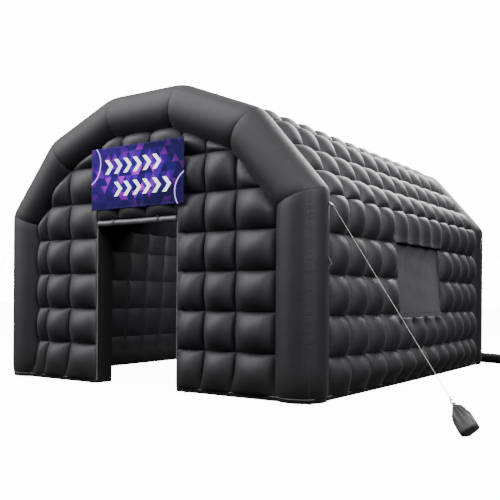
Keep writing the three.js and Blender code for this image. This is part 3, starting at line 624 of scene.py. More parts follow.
def weld(piece):
    """Merges points that lie on each other, and drops the faces that this closes."""
    shell = bmesh.new()
    shell.from_mesh(piece.data)
    bmesh.ops.remove_doubles(shell, verts=shell.verts, dist=1e-5)
    bmesh.ops.recalc_face_normals(shell, faces=shell.faces)
    shell.to_mesh(piece.data)
    shell.free()


def two_skins(rows, columns):
    """Faces of two grids of points, back to back, and then those that join them round their edges."""
    grid = np.arange(rows * columns).reshape(rows, columns)
    quads = np.stack([grid[:-1, :-1], grid[:-1, 1:], grid[1:, 1:], grid[1:, :-1]], -1).reshape(-1, 4)
    edge = np.concatenate([grid[0, :-1], grid[:-1, -1], grid[-1, :0:-1], grid[:0:-1, 0]])
    shift = rows * columns
    rim = np.stack([edge, edge + shift, np.roll(edge, -1) + shift, np.roll(edge, -1)], -1)
    return quads.tolist() + (quads[:, ::-1] + shift).tolist(), rim.tolist()


def cell_lines(seams, levels=None):
    """Lines across a panel, closest together at the seams: where each lies, its share of its cell, how
    far the nearest seam is, the levels of the seams at both sides, how full the cell is, and whether it
    is a plain strip."""
    lines = []
    for i, (start, stop) in enumerate(zip(seams[:-1], seams[1:])):
        low, high = (levels[i], levels[i + 1]) if levels else (0, 0)
        plain = stop - start < (NARROW_ROW if levels else FLAT_STRIP)
        steps = 2 if plain else CELL_STEPS
        full = 0 if plain else min(1, (stop - start) / FULL_COLUMN)
        for j in range(steps + (1 if i == len(seams) - 2 else 0)):
            share = (1 - math.cos(math.pi * j / steps)) / 2
            at = start + (stop - start) * share
            lines.append((at, share, min(at - start, stop - at), low, high, full, plain))
    return np.array(lines)


def quilted_panel(name, node, rows, columns, place, seam_depth, edging, fade=None, limit=None):
    """A closed panel: an outer and an inner skin of cells, joined round their edges. place gives the
    point at a height, a distance across and a depth. The seams sink by seam_depth, but not where
    edging is 1, at a hem or an opening. limit moves points that lie outside the arch."""
    size = len(rows), len(columns)
    at, cell_v, row_gap, level_low, level_high, _, plain = (
        np.broadcast_to(line[:, None], size) for line in rows.T)
    across, cell_u, column_gap, _, _, fullness, _ = (np.broadcast_to(line, size) for line in columns.T)
    kept = limit(at, across) if limit else across
    if fade:
        fullness = fullness * fade(at, kept)
    sunk = seam_depth * (1 - edging(at, kept))
    skins, outs = [], []
    for depth, way, share in (
            (SKIN_INSET + sunk, -1, 1 + sunk[..., None] / OUTER_SWELL),
            (SKIN_INSET + WALL + 0 * sunk, 1, INNER_SWELL / OUTER_SWELL)):
        here = place(at, kept, depth)
        skins.append(here.reshape(-1, 3))
        outs.append(((place(at, kept, depth + way) - here) * share).reshape(-1, 3))
    for_both = {
        "cell_u": cell_u, "cell_v": cell_v, "level_low": level_low, "level_high": level_high,
        "fullness": fullness * (1 - plain), "seam_near": row_gap, "side_near": column_gap}
    values = {key: np.tile(numbers.ravel(), 2) for key, numbers in for_both.items()}
    values["outward"] = np.concatenate(outs)
    values["cloth_place"] = np.stack([
        np.tile(across.ravel(), 2), np.tile(at.ravel(), 2), np.repeat([0.0, 7.0], at.size)], -1)
    faces, rim = two_skins(*size)
    panel = mesh_piece(name, np.concatenate(skins), faces + rim, satin_cloth, values)
    apply_tree(panel, quilting, Swell=OUTER_SWELL, Cell_roundness=CELL_ROUNDNESS, Material=satin_cloth)
    for key in ("cell_u", "cell_v", "level_low", "level_high", "fullness", "outward"):
        panel.data.attributes.remove(panel.data.attributes[key])
    # The rims get the near-black facing, painted shade for the shaded jambs
    panel.data.materials.append(shade_black_facing)
    panel.data.polygons.foreach_set("material_index", [0] * len(faces) + [1] * len(rim))
    if limit:
        weld(panel)
    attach(panel, "root")
    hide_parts(node)


def wall_bow(across, height):
    """How far the side walls lean out: most at the middle of their length, low down."""
    along = 1 - (across / SKIN_END) ** 2
    low = (HEM + ROW) / 2
    foot = 0.15 + 0.85 * np.maximum(0, height - HEM) / (low - HEM)
    wall = (EAVE - height) / (EAVE - low)
    soft = -np.log(np.exp(-14 * foot) + np.exp(-14 * wall)) / 14
    return WALL_BOW * along * np.maximum(soft, 0)


def skin_place(side):
    """Places points of a wall or roof side. Rows near a corner turn gradually from straight inwards to
    the bisector, which its ends follow."""
    length = side_length(side)
    along = (OUTLINE[side + 1] - OUTLINE[side]) / length

    def place(at, across, depth):
        height = at if side == 0 else length - at
        inset = depth - (wall_bow(across, height) if side in (0, SIDES - 1) else 0) + 0 * at
        low_base, high_base = (
            OUTLINE[corner] - side_normal(side) * inset[..., None] for corner in (side, side + 1))
        low_shift = ((corner_at(side, inset) - low_base) @ along)[..., None] * along
        high_shift = ((corner_at(side + 1, inset) - high_base) @ along)[..., None] * along
        near_low = np.clip(1 - at / CORNER_REACH, 0, 1) if side > 0 else 0 * at
        near_high = np.clip(1 - (length - at) / CORNER_REACH, 0, 1) if side < SIDES - 1 else 0 * at
        turned = np.maximum(near_low, near_high)[..., None] ** 2
        straight = low_base + (OUTLINE[side + 1] - OUTLINE[side]) * (at / length)[..., None]
        flat = straight + turned * np.where((near_low > near_high)[..., None], low_shift, high_shift)
        return np.stack([flat[..., 0], across + 0 * at, flat[..., 1]], -1)

    return place


def eased(share):
    """An even rise from 0 to 1, made to start and end softly."""
    share = np.clip(share, 0, 1)
    return share * share * (3 - 2 * share)


def near_hem(at, across):
    """1 at the hem round the foot, and 0 from 0.26 m above it."""
    return eased(1 - (at - HEM) / 0.26) + 0 * across


def near_opening(height, across, left, right, bottom, top):
    """1 at the edge of an opening, and 0 from 0.09 m away from it."""
    beside = np.maximum(np.maximum(left - across, across - right), 0)
    above = np.maximum(np.maximum(bottom - height, height - top), 0)
    return eased(1 - np.hypot(beside, above) / 0.09)


def right_edging(at, across):
    return np.maximum(near_hem(EAVE - at, across), near_opening(
        EAVE - at, across, WINDOW["front"], WINDOW["flap_rear"], WINDOW["bottom"] - SILL_HEM, WINDOW["top"]))


def no_edging(at, across):
    return 0 * at * across


def downwards(seams, levels):
    """Rows of the right wall, whose side of the outline runs down from the eave."""
    return cell_lines([EAVE - s for s in reversed(seams)], list(reversed(levels)))


side_seams = [-SKIN_END, *np.linspace(-SEAM_END, SEAM_END, 13), SKIN_END]
side_columns = cell_lines(side_seams)
wall_seams = [0, HEM, ROW, 2 * ROW, 3 * ROW, 4 * ROW, EAVE - HALF_GAP]
wall_levels = [0, 0, ROW_LEVEL, ROW_LEVEL, ROW_LEVEL, ROW_LEVEL, EAVE_LEVEL]
quilted_panel(
    "left_wall_quilted", "side_wall_left", cell_lines(wall_seams, wall_levels), side_columns, skin_place(0),
    SIDE_SEAM_DEPTH, near_hem)

right_rows = downwards(wall_seams, wall_levels)
window_columns = cell_lines([WINDOW["front"] + HALF_GAP, *side_seams[6:9], WINDOW["rear"] - HALF_GAP])
sill_seams = [0, HEM, ROW, WINDOW["bottom"] - SILL_HEM, WINDOW["bottom"]]
beside_seams = [WINDOW["bottom"] + CLEAR, 3 * ROW, WINDOW["top"] - CLEAR]
RIGHT_WALL = [
    # part, rows, columns
    ("front", right_rows, cell_lines([*side_seams[:5], WINDOW["front"] - HALF_GAP])),
    ("rear", right_rows, cell_lines([WINDOW["rear"] + HALF_GAP, *side_seams[10:]])),
    ("under_window", downwards(sill_seams, [0, 0, ROW_LEVEL, 0, 0]), window_columns),
    ("over_window", downwards([WINDOW["top"], EAVE - HALF_GAP], [0.7, EAVE_LEVEL]), window_columns),
    ("beside_window", downwards(beside_seams, [0.2, ROW_LEVEL, ROW_LEVEL]),
     cell_lines([WINDOW["flap_rear"] + CLEAR, WINDOW["rear"] - HALF_GAP])),
]
for part, rows, columns in RIGHT_WALL:
    quilted_panel(
        f"right_wall_{part}_quilted", f"side_wall_right_{part}", rows, columns, skin_place(SIDES - 1),
        SIDE_SEAM_DEPTH, right_edging)

for side in range(1, SIDES - 1):
    seams = list(np.linspace(HALF_GAP, side_length(side) - HALF_GAP, 4))
    levels = [ROW_LEVEL] * 4
    if side == 1:
        levels[0] = EAVE_LEVEL
    if side == SIDES - 2:
        levels[3] = EAVE_LEVEL
    quilted_panel(
        f"roof_{TUBE_NAMES[side]}_quilted", f"roof_{TUBE_NAMES[side]}", cell_lines(seams, levels),
        side_columns, skin_place(side), SIDE_SEAM_DEPTH, no_edging)

# End walls: the same quilting, cut to the arch, with the doorway in the front one. The cells die away
# where the wall meets the tube. Their row seams lie 36 mm above those of the sides.
HALF_LENGTH = 2.935
END_INSET = 0.075
END_TOP = 3.226
SEAM_EDGE = 1.89
SKIN_EDGE = 2.085
END_SEAM_DEPTH = 0.095
ROW_SHIFT = 0.036
DOOR = {"left": -0.68, "right": 0.58, "top": 1.99}
ARCH_SEAM = TUBE_RADIUS + math.sqrt(TUBE_RADIUS ** 2 - (TUBE_RADIUS - END_INSET) ** 2)
arch_corners = np.array([corner_at(i, TUBE_RADIUS) for i in range(SIDES + 1)])


def arch_limit(height, across):
    """Keeps points between the tubes' centre lines."""
    right = arch_corners[SIDES // 2 + 1:][::-1]
    wide = np.interp(height, right[:, 1], right[:, 0])
    return np.clip(across, -wide, wide)


def arch_fade(height, across):
    """0 at the tubes, and 1 from 0.13 m away from them."""
    insets = []
    for corner, normal in zip(OUTLINE, [side_normal(side) for side in range(SIDES)]):
        insets.append((corner[0] - across) * normal[0] + (corner[1] - height) * normal[1])
    return eased((np.min(insets, axis=0) - ARCH_SEAM) / 0.13)


def end_place(facing):
    """Points of an end wall. facing is -1 for the front and +1 for the rear."""
    def place(at, across, depth):
        depth = depth + (END_INSET - SKIN_INSET) + 0 * at
        return np.stack([across + 0 * at, facing * (HALF_LENGTH - depth), at], -1)
    return place


def front_edging(at, across):
    """The strip over the door stays shallow too, because its edge is sewn flat to the lintel."""
    door = near_opening(at, across, DOOR["left"], DOOR["right"], -1, DOOR["top"])
    beside = np.maximum(np.maximum(DOOR["left"] - across, across - DOOR["right"]), 0)
    over = np.clip(1 - (at - EAVE) / 0.22, 0, 1) * np.clip(1 - beside / 0.10, 0, 1) * (at > DOOR["top"])
    return np.maximum(np.maximum(near_hem(at, across), door), eased(over))


end_seams = [ROW * i + ROW_SHIFT for i in range(1, 8)] + [END_TOP]
end_rows = cell_lines([0, HEM, *end_seams], [0, 0] + [ROW_LEVEL] * 8)
over_rows = cell_lines([DOOR["top"], *end_seams[4:]], [0.1] + [ROW_LEVEL] * 4)
END_PANELS = [
    # piece, node, facing, edging, rows, seams between its columns
    ("front_wall_right", "front_wall_right_of_door", -1, front_edging, end_rows,
     [DOOR["right"] + HALF_GAP, 0.914, 1.329, SEAM_EDGE, SKIN_EDGE]),
    ("front_wall_left", "front_wall_left_of_door", -1, front_edging, end_rows,
     [-SKIN_EDGE, -SEAM_EDGE, -1.646, -1.240, DOOR["left"] - HALF_GAP]),
    ("front_wall_over_door", "front_wall_over_door", -1, front_edging, over_rows,
     [DOOR["left"] + HALF_GAP, -0.329, 0.109, DOOR["right"] - HALF_GAP]),
    ("rear_wall", "rear_wall", 1, near_hem, end_rows,
     [-SKIN_EDGE, *np.linspace(-SEAM_EDGE, SEAM_EDGE, 10), SKIN_EDGE]),
]
for piece, node, facing, edging, rows, seams in END_PANELS:
    quilted_panel(
        f"{piece}_quilted", node, rows, cell_lines(seams), end_place(facing), END_SEAM_DEPTH, edging,
        arch_fade, arch_limit)


# Piping: thin cord sewn into the cloth. Grey piping tops the black hem all round the foot, and black
# piping covers the mitre seams and the long seams of the tubes.
def piping_tree():
    """Lays a round cord along the edges of a piece."""
    tree, given = geometry_tree("piping", "Cord", Line="Geometry", Radius="Float")
    curve = add_node(tree, "GeometryNodeMeshToCurve", {0: given["Line"]})
    section = add_node(tree, "GeometryNodeCurvePrimitiveCircle", {"Resolution": 6, "Radius": given["Radius"]})
    cord = add_node(tree, "GeometryNodeCurveToMesh", {
        "Curve": curve.outputs[0], "Profile Curve": section.outputs[0], "Fill Caps": True})
    smooth = add_node(tree, "GeometryNodeSetShadeSmooth", {0: cord.outputs[0]})
    return end_tree(tree, given, smooth.outputs[0])


def woven_tape(name, colour, roughness):
    """Matt polyester tape, ribbed 2 mm apart and drawn 6 mm apart so that it shows."""
    material, tree, shader = new_material(name, colour, roughness, Sheen_Weight=0.25)
    space = object_space(tree)
    fluff = noise(tree, space, 140.0, 3.0)
    connect(tree, shader, Base_Color=blend(tree, fluff, linear(colour, 0.7), linear(colour, 1.4)),
            Normal=relief(tree, bands(tree, space, 52.0, 0.4, "DIAGONAL"), 0.5, 0.0008))
    return material


def along_lines(name, lines, tree, material, slot, **inputs):
    """Runs a tree along lines of points. A line that closes ends where it starts."""
    points, edges = [], []
    for line in lines:
        first = len(points)
        points += [tuple(p) for p in line]
        edges += [(i, i + 1) for i in range(first, len(points) - 1)]
        if np.linalg.norm(np.subtract(line[0], line[-1])) < 1e-6:
            points.pop()
            edges[-1] = (len(points) - 1, first)
    mesh = bpy.data.meshes.new(name)
    mesh.from_pydata(points, edges, [])
    mesh.materials.append(material)
    piece = bpy.data.objects.new(name, mesh)
    scene.collection.objects.link(piece)
    apply_tree(piece, tree, Material=material, **inputs)
    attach(piece, "root")


def piped(name, lines, radius, cloth, slot):
    along_lines(name, lines, piping, cloth, slot, Radius=radius)


def foot_line():
    """The top edge of the hem, from the door's left jamb round the tent to its right jamb."""
    proud = 0.001
    leg_x, leg_y = LEG_AT
    foot = TUBE_RADIUS * FOOT_PINCH
    wall_y = HALF_LENGTH - END_INSET
    wall_x = HALF_WIDTH - SKIN_INSET
    from_front = math.asin((wall_y - leg_y) / foot)
    to_side = math.acos((wall_x - leg_x) / foot)
    quarter = []
    for angle in np.linspace(math.pi - from_front, to_side, 16):
        quarter.append((leg_x + (foot + proud) * math.cos(angle), leg_y + (foot + proud) * math.sin(angle)))
    side_y = np.linspace(quarter[-1][1], -quarter[-1][1], 60)[1:-1]
    side = [(wall_x + proud + float(wall_bow(y, np.array(HEM + 0.003))), -y) for y in side_y]
    right_half = [(x, -y) for x, y in quarter] + side + quarter[::-1]
    right = [(DOOR["right"], -wall_y - proud)] + right_half
    left = [(-x, y) for x, y in reversed(right_half)] + [(DOOR["left"], -wall_y - proud)]
    return [(x, y, HEM + 0.004) for x, y in right + left]


piping = piping_tree()
grey_tape = woven_tape("grey_polyester_piping", "#77777B", 0.7)
black_tape = woven_tape("black_polyester_webbing", "#151517", 0.72)
piped("foot_piping", [foot_line()], 0.0035, grey_tape, "webbing")
round_tube = np.linspace(0, 2 * math.pi, 61)
mitre_lines, long_lines = [], []
for arch, centre_y in ARCHES:
    for side in range(1, SIDES):
        mitre_lines.append(on_tube(side, 0 * round_tube, round_tube, centre_y, MITRE_PINCH, 0.0005))
    for angle in (math.radians(45), math.radians(-45)):
        for side in range(SIDES):
            length = side_length(side)
            along = np.concatenate([
                np.linspace(0.0, 0.16, 12), np.linspace(0.2, length - 0.2, 6),
                np.linspace(length - 0.16, length, 12)])
            # The seam ends at the hem
            if side == 0:
                along = along[along >= HEM]
            if side == SIDES - 1:
                along = along[length - along >= HEM]
            long_lines.append(on_tube(side, along, angle, centre_y, tube_form(side, along)[0], -0.0005))
piped("arch_mitre_piping", mitre_lines, 0.0035, black_tape, "tube_fabric")
piped("arch_long_piping", long_lines, 0.0022, black_tape, "tube_fabric")


# Window: the opening is closed by a flap of plain tent cloth. Its foot is held by a strip sewn over
# the sill, and two toggles hold its head, where the cloth creases.
def flap_cloth(name, dark, light, roughness, crease):
    """Plain tent cloth of the flaps, with slow waves and a fine weave, drawn 5 mm apart."""
    material, tree, shader = new_material(name, light, roughness, Sheen_Weight=0.15)
    space = object_space(tree)
    waves = noise(tree, space, 3.0, 4.0)
    folds = relief(tree, waves, 0.5, crease)
    connect(tree, shader, Base_Color=blend(tree, waves, linear(dark), linear(light)),
            Normal=relief(tree, noise(tree, space, 220.0), 0.15, 0.001, folds))
    return material


def shell(name, front, back, material):
    """A closed piece of cloth between two grids of points, joined round their edges."""
    faces, rim = two_skins(*front.shape[:2])
    points = np.concatenate([front.reshape(-1, 3), back.reshape(-1, 3)])
    piece = mesh_piece(name, points, faces + rim, material)
    weld(piece)
    return piece


def wall_face(across, height):
    return HALF_WIDTH - SKIN_INSET + wall_bow(across, height)


CLOTH_HALF = 0.0012
TOGGLES = [(-0.500, 1.720), (0.220, 1.720)]
plain_cloth = flap_cloth("plain_grey_polyester", "#2B2B30", "#37373D", 0.55, 0.010)
flap_y, flap_z = np.meshgrid(
    np.linspace(WINDOW["front"] + HALF_GAP, WINDOW["flap_rear"], 90),
    np.linspace(WINDOW["bottom"] + CLEAR, WINDOW["top"] - CLEAR, 60))
up_share = (flap_z - WINDOW["bottom"]) / (WINDOW["top"] - WINDOW["bottom"])
creases = 0 * flap_y
for toggle_y, toggle_z in TOGGLES:
    off_y, off_z = flap_y - toggle_y, flap_z - toggle_z
    creases += 0.0045 * np.exp(-np.hypot(off_y, off_z) / 0.13) * np.cos(9 * np.arctan2(off_y, -off_z - 0.02))
creases += 0.0015 * np.sin(flap_y * 7 + 1.5) * np.sin(np.pi * up_share)
creases += 0.001 * np.sin(flap_z * 23 + flap_y * 4)
creases *= np.sin(np.pi * np.clip(up_share, 0.02, 0.98)) ** 0.3
flap_x = wall_face(flap_y, flap_z) - 0.002 - 0.012 * up_share + creases
flap_front = np.stack([flap_x + CLOTH_HALF, flap_y, flap_z], -1)
flap = shell("window_flap_cloth", flap_front, flap_front - (2 * CLOTH_HALF, 0, 0), plain_cloth)
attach(flap, "root")
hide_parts("window_flap")

STRIP = {"bottom": 0.832, "top": 0.884}
strip_along = np.linspace(WINDOW["front"] + 0.008, WINDOW["flap_rear"] - 0.004, 60)
strip_y, strip_z = np.meshgrid(strip_along, np.linspace(STRIP["bottom"], STRIP["top"], 8))
strip_up = (strip_z - STRIP["bottom"]) / (STRIP["top"] - STRIP["bottom"])
strip_x = wall_face(strip_y, strip_z) + 0.004 + 0.0014 * np.sin(strip_y * 31) * strip_up
strip_front = np.stack([strip_x + CLOTH_HALF, strip_y, strip_z], -1)
strip = shell("window_sill_tape", strip_front, strip_front - (2 * CLOTH_HALF, 0, 0), plain_cloth)
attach(strip, "root")
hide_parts("window_sill_strip")
strip_edges = [
    [(float(wall_face(y, np.array(height))) + 0.0056, y, height) for y in strip_along]
    for height in (STRIP["bottom"] + 0.0005, STRIP["top"] - 0.0005)]
piped("window_sill_piping", strip_edges, 0.0022, black_tape, "webbing")

toggle_turn = np.linspace(0, 2 * math.pi, 25)
toggle_along = np.linspace(-0.017, 0.017, 24)
toggle_waist = 1 - 0.22 * np.exp(-(toggle_along / 0.004) ** 2)
toggle_girth = 0.0070 * np.sqrt(np.clip(1 - (toggle_along / 0.0172) ** 6, 0.02, 1)) * toggle_waist
for i in range(2):
    low_corner, high_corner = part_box(f"window_toggle_{i + 1}")
    middle = np.array((low_corner + high_corner) / 2)
    line = middle + toggle_along[:, None] * np.array([0, 1, 0])
    toggle = mesh_piece(
        f"window_toggle_{i + 1}_barrel", swept(line, toggle_girth, 20), loop_faces(24, 20), nylon_black)
    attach(toggle, "root")
    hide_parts(f"window_toggle_{i + 1}")
    loop_line = middle + np.stack([
        0.0068 * np.cos(toggle_turn) - 0.002, 0 * toggle_turn, 0.0068 * np.sin(toggle_turn) + 0.001], -1)
    loop_line[-1] = loop_line[0]
    piped(f"window_toggle_loop_{i + 1}", [loop_line], 0.0018, black_tape, "webbing")

# Banner: a sheet of polyester, printed in violet, magenta and navy with a made-up pattern of facets,
# chevrons and rings, hemmed and stitched all round. It lies on the crests of the cells over the door.
BANNER = {"x": 0.010, "width": 1.440, "height": 0.735, "bottom": 2.095}
FACET_HEIGHT = 0.095
FACETS = [
    # share of the facets below it, colour
    (0.0, "#0C0240"), (0.45, "#220570"), (0.75, "#4E0A9E"), (1.0, "#A814C4")]
CHEVRON_ROWS = [
    # height of the row's middle, where it starts and ends
    (0.505, 0.30, 1.14), (0.235, 0.42, 1.26)]
CHEVRON = {"spacing": 0.150, "stroke": 0.40, "half_height": 0.085, "lean": 0.9}
RINGS = [
    # centre, radius
    (-0.12, 0.56, 0.27), (1.55, 0.14, 0.24)]
RING_WIDTH = 0.014
print_cloth, tree, shader = new_material(
    "printed_polyester_banner", "#3A1A8C", 0.7, Specular_IOR_Level=0.1, Emission_Strength=0.9)


def print_math(operation, *values):
    return maths(tree, operation, *values)


def print_reach(x, y, wide=1.0, high=1.0):
    """How far the cloth is from a point of the print, measured wider or higher than it is."""
    sides = [print_math("POWER", print_math("MULTIPLY", print_math("SUBTRACT", *pair), stretch), 2.0)
             for pair, stretch in (((print_x, x), wide), ((print_y, y), high))]
    return print_math("SQRT", print_math("ADD", *sides))


print_xy = add_node(tree, "ShaderNodeSeparateXYZ", {0: from_attribute(tree, "print_place", "Vector")})
print_x, print_y = print_xy.outputs["X"], print_xy.outputs["Y"]
ground = blend(tree, ramp(tree, print_x, 0.05, 1.25, 0.0, 1.0), linear("#1C0450"), linear("#05032E"))
ground = blend(tree, ramp(tree, print_y, 0.30, 0.0, 0.0, 0.75), ground, linear("#030222"))
# Facets: three sets of lines at 60 degrees part the sheet into triangles, each with a shade
lean = print_math("MULTIPLY", print_x, 0.8660 / FACET_HEIGHT)
half_up = print_math("MULTIPLY", print_y, 0.5 / FACET_HEIGHT)
line_sets = [
    print_math("MULTIPLY", print_y, 1 / FACET_HEIGHT), print_math("ADD", lean, half_up),
    print_math("SUBTRACT", lean, half_up)]
cell_numbers = [print_math("FLOOR", lines) for lines in line_sets]
facet_cell = add_node(tree, "ShaderNodeCombineXYZ", dict(enumerate(cell_numbers)))
facet_shade = add_node(tree, "ShaderNodeTexWhiteNoise", {"Vector": facet_cell.outputs[0]}).outputs["Value"]
facets = colour_steps(tree, facet_shade, [(place, linear(colour)) for place, colour in FACETS])
facets_show = ramp(tree, print_reach(0.70, 0.40, 1.25, 2.6), 0.35, 0.95, 0.85, 0.10)
picture = blend(tree, facets_show, ground, facets)
# Two rows of pale chevrons
for row_at, from_x, to_x in CHEVRON_ROWS:
    row_gap = print_math("ABSOLUTE", print_math("SUBTRACT", print_y, row_at))
    bent = print_math("ADD", print_x, print_math("MULTIPLY", row_gap, CHEVRON["lean"]))
    repeat = print_math("FRACT", print_math("MULTIPLY", bent, 1 / CHEVRON["spacing"]))
    in_stroke = print_math("LESS_THAN", repeat, CHEVRON["stroke"])
    in_row = print_math("LESS_THAN", row_gap, CHEVRON["half_height"])
    in_span = print_math(
        "MULTIPLY", print_math("GREATER_THAN", bent, from_x), print_math("LESS_THAN", bent, to_x))
    chevron = print_math("MULTIPLY", print_math("MULTIPLY", in_stroke, in_row), in_span)
    picture = blend(tree, chevron, picture, linear("#F6F2FF"))
# A pale ring segment at each side
for ring_x, ring_y, radius in RINGS:
    off_ring = print_math("ABSOLUTE", print_math("SUBTRACT", print_reach(ring_x, ring_y), radius))
    on_ring = print_math("LESS_THAN", off_ring, RING_WIDTH / 2)
    picture = blend(tree, on_ring, picture, linear("#C9A6FF"))
# The studio's light on the dark print is helped by a faint glow in the print's own colours
space = object_space(tree)
print_folds = relief(tree, noise(tree, space, 4.0), 0.4, 0.01)
connect(tree, shader, Base_Color=picture, Emission_Color=blend(tree, chevron, picture, linear("#FFFFFF")),
        Normal=relief(tree, noise(tree, space, 260.0), 0.12, 0.001, print_folds))


def billow(u, v):
    """How far the banner stands off the crests at shares of its width and height."""
    slow = 0.0022 * np.sin(u * 10.5 * math.pi / 1.44) * np.sin(v * 5)
    return np.abs(slow + 0.0016 * np.sin(u * 21 + v * 6))


banner_u, banner_v = np.meshgrid(np.linspace(0, 1, 97), np.linspace(0, 1, 50))
banner_x = BANNER["x"] + BANNER["width"] * (banner_u - 0.5)
banner_z = BANNER["bottom"] + BANNER["height"] * banner_v
edge_gap = np.minimum(
    np.minimum(banner_u, 1 - banner_u) * BANNER["width"],
    np.minimum(banner_v, 1 - banner_v) * BANNER["height"])
hem_step = 0.0010 * np.clip((0.022 - edge_gap) / 0.003, 0, 1)
banner_y = -HALF_LENGTH - 0.0026 - billow(banner_u, banner_v) - hem_step
banner_front = np.stack([banner_x, banner_y, banner_z], -1)
banner = shell("banner_cloth", banner_front, banner_front + (0, 0.0022, 0), print_cloth)
corner = np.array([c.co[:] for c in banner.data.vertices])
banner_left = BANNER["x"] - BANNER["width"] / 2
keep_values(banner.data, "print_place", np.stack([
    corner[:, 0] - banner_left, corner[:, 2] - BANNER["bottom"], 0 * corner[:, 0]], -1))
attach(banner, "root")
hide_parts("banner")

# Door flap: the plain sheet that closes the doorway, rolled up tight under the wall over the door. Two
# straps of webbing hold the roll, and its cloth is drawn in under them.
ROLL = {"radius": 0.036, "y": -2.854, "z": 1.944, "left": -0.668, "right": 0.570}
ROLL_SIDES = 48
LINTEL = 1.9896
HANGING_EDGE = {"bottom": 1.950, "top": 1.9897}
TIES = [-0.400, 0.300]
roll_along = np.unique(np.concatenate([
    np.linspace(ROLL["left"], ROLL["right"], 120),
    *[tie + np.linspace(-0.05, 0.05, 26) for tie in TIES],
    ROLL["left"] + np.linspace(0, 0.02, 8), ROLL["right"] - np.linspace(0, 0.02, 8)]))
roll_angle = np.arange(ROLL_SIDES) * 2 * math.pi / ROLL_SIDES
roll_radius = np.full((len(roll_along), ROLL_SIDES), ROLL["radius"])
for tie in TIES:
    gap = np.abs(roll_along - tie)
    roll_radius -= (0.0085 * np.exp(-(gap / 0.020) ** 2))[:, None]
    flutes = 0.0016 * np.exp(-((gap - 0.024) / 0.022) ** 2)
    roll_radius += flutes[:, None] * np.cos(7 * roll_angle + 2)
end_gap = np.minimum(roll_along - ROLL["left"], ROLL["right"] - roll_along)
roll_radius -= (0.006 * (1 - shoulder(end_gap, 0, 0.018)))[:, None]
roll_radius += 0.0009 * np.sin(roll_along * 24)[:, None] * np.cos(roll_angle * 2 + 1)
# The free edge of the cloth shows as a step that runs along the roll
step_at = (roll_angle - 4.2 - 0.25 * np.sin(roll_along * 3)[:, None]) % (2 * math.pi)
roll_radius -= 0.0022 * np.exp(-step_at * 1.2)
# Two of its lengths sag a little beside the straps
end_share = (roll_along - ROLL["left"]) / (TIES[0] - ROLL["left"])
middle_share = np.clip((roll_along - TIES[0]) / (TIES[1] - TIES[0]), 0, 1)
sag = -0.0035 * np.clip(np.sin(end_share * math.pi), 0, 1) * (roll_along < TIES[0])
sag = sag - 0.0030 * np.sin(middle_share * math.pi)
roll_line = np.stack([roll_along, 0 * roll_along + ROLL["y"], ROLL["z"] + sag], -1)
# At both ends the layers of cloth show as rings, one behind the other
CAP_RINGS = [
    # radius, depth
    (0.024, 0.0), (0.0225, 0.004), (0.0195, 0.004), (0.018, 0.0), (0.0145, 0.0), (0.013, 0.004),
    (0.010, 0.004), (0.0085, 0.0), (0.004, 0.0), (0.001, 0.003)]
caps = []
for end_x, way in ((ROLL["left"], 1), (ROLL["right"], -1)):
    rings = [np.stack([
        np.full(ROLL_SIDES, end_x + way * deep), ROLL["y"] - radius * np.sin(roll_angle),
        ROLL["z"] + radius * np.cos(roll_angle)], -1) for radius, deep in CAP_RINGS[::-way]]
    caps.append(np.concatenate(rings))
roll_points = np.concatenate([caps[0], swept(roll_line, roll_radius, ROLL_SIDES), caps[1]])
# The rolled side is taken as the coated one, so it is made glossier than the window's flap; its lighter
# colours are painted highlight
shiny_highlit_cloth = flap_cloth("coated_grey_polyester", "#4A4A50", "#66666C", 0.27, 0.006)
roll_loops = len(roll_along) + 2 * len(CAP_RINGS)
roll = mesh_piece("door_flap_roll", roll_points, loop_faces(roll_loops, ROLL_SIDES), shiny_highlit_cloth)
weld(roll)
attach(roll, "root")
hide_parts("door_flap_rolled")

edge_x, edge_z = np.meshgrid(
    np.linspace(ROLL["left"] + 0.01, ROLL["right"] - 0.01, 80),
    np.linspace(HANGING_EDGE["bottom"], HANGING_EDGE["top"], 10))
edge_free = np.clip((HANGING_EDGE["top"] - edge_z) / 0.03, 0, 1)
edge_y = ROLL["y"] + 0.020 + 0.0012 * np.sin(edge_x * 30) * edge_free
edge_front = np.stack([edge_x, edge_y - CLOTH_HALF, edge_z], -1)
hanging = shell("door_flap_hanging_edge", edge_front, edge_front + (0, 2 * CLOTH_HALF, 0), plain_cloth)
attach(hanging, "root")

under = np.linspace(math.pi, 2 * math.pi, 30)
for i, tie_x in enumerate(TIES):
    widths = tie_x + np.linspace(-0.009, 0.009, 5)[:, None]
    faces = []
    for radius in (0.0318, 0.0292):
        ys = ROLL["y"] + radius * np.array([-1.0, *np.cos(under), 1.0])
        zs = np.array([LINTEL, *(ROLL["z"] + radius * np.sin(under)), LINTEL])
        faces.append(np.stack(np.broadcast_arrays(widths, ys, zs), -1))
    strap = shell(f"door_flap_strap_{i + 1}", *faces, black_tape)
    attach(strap, "root")
    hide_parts(f"door_flap_tie_{i + 1}")

# Door edges: a grey zip tape of polyester runs up both jambs, from the hem to just under the lintel. It
# is sewn to the facing, and the rolled flap closes along it.
WALL_FACE_Y = 2.862
heights = np.linspace(HEM, DOOR["top"] - 0.045, 40)
jamb_lines = [[(x, -WALL_FACE_Y, z) for z in heights] for x in (DOOR["left"] + 0.001, DOOR["right"] - 0.001)]
piped("door_zip_tape", jamb_lines, 0.0045, grey_tape, "webbing")


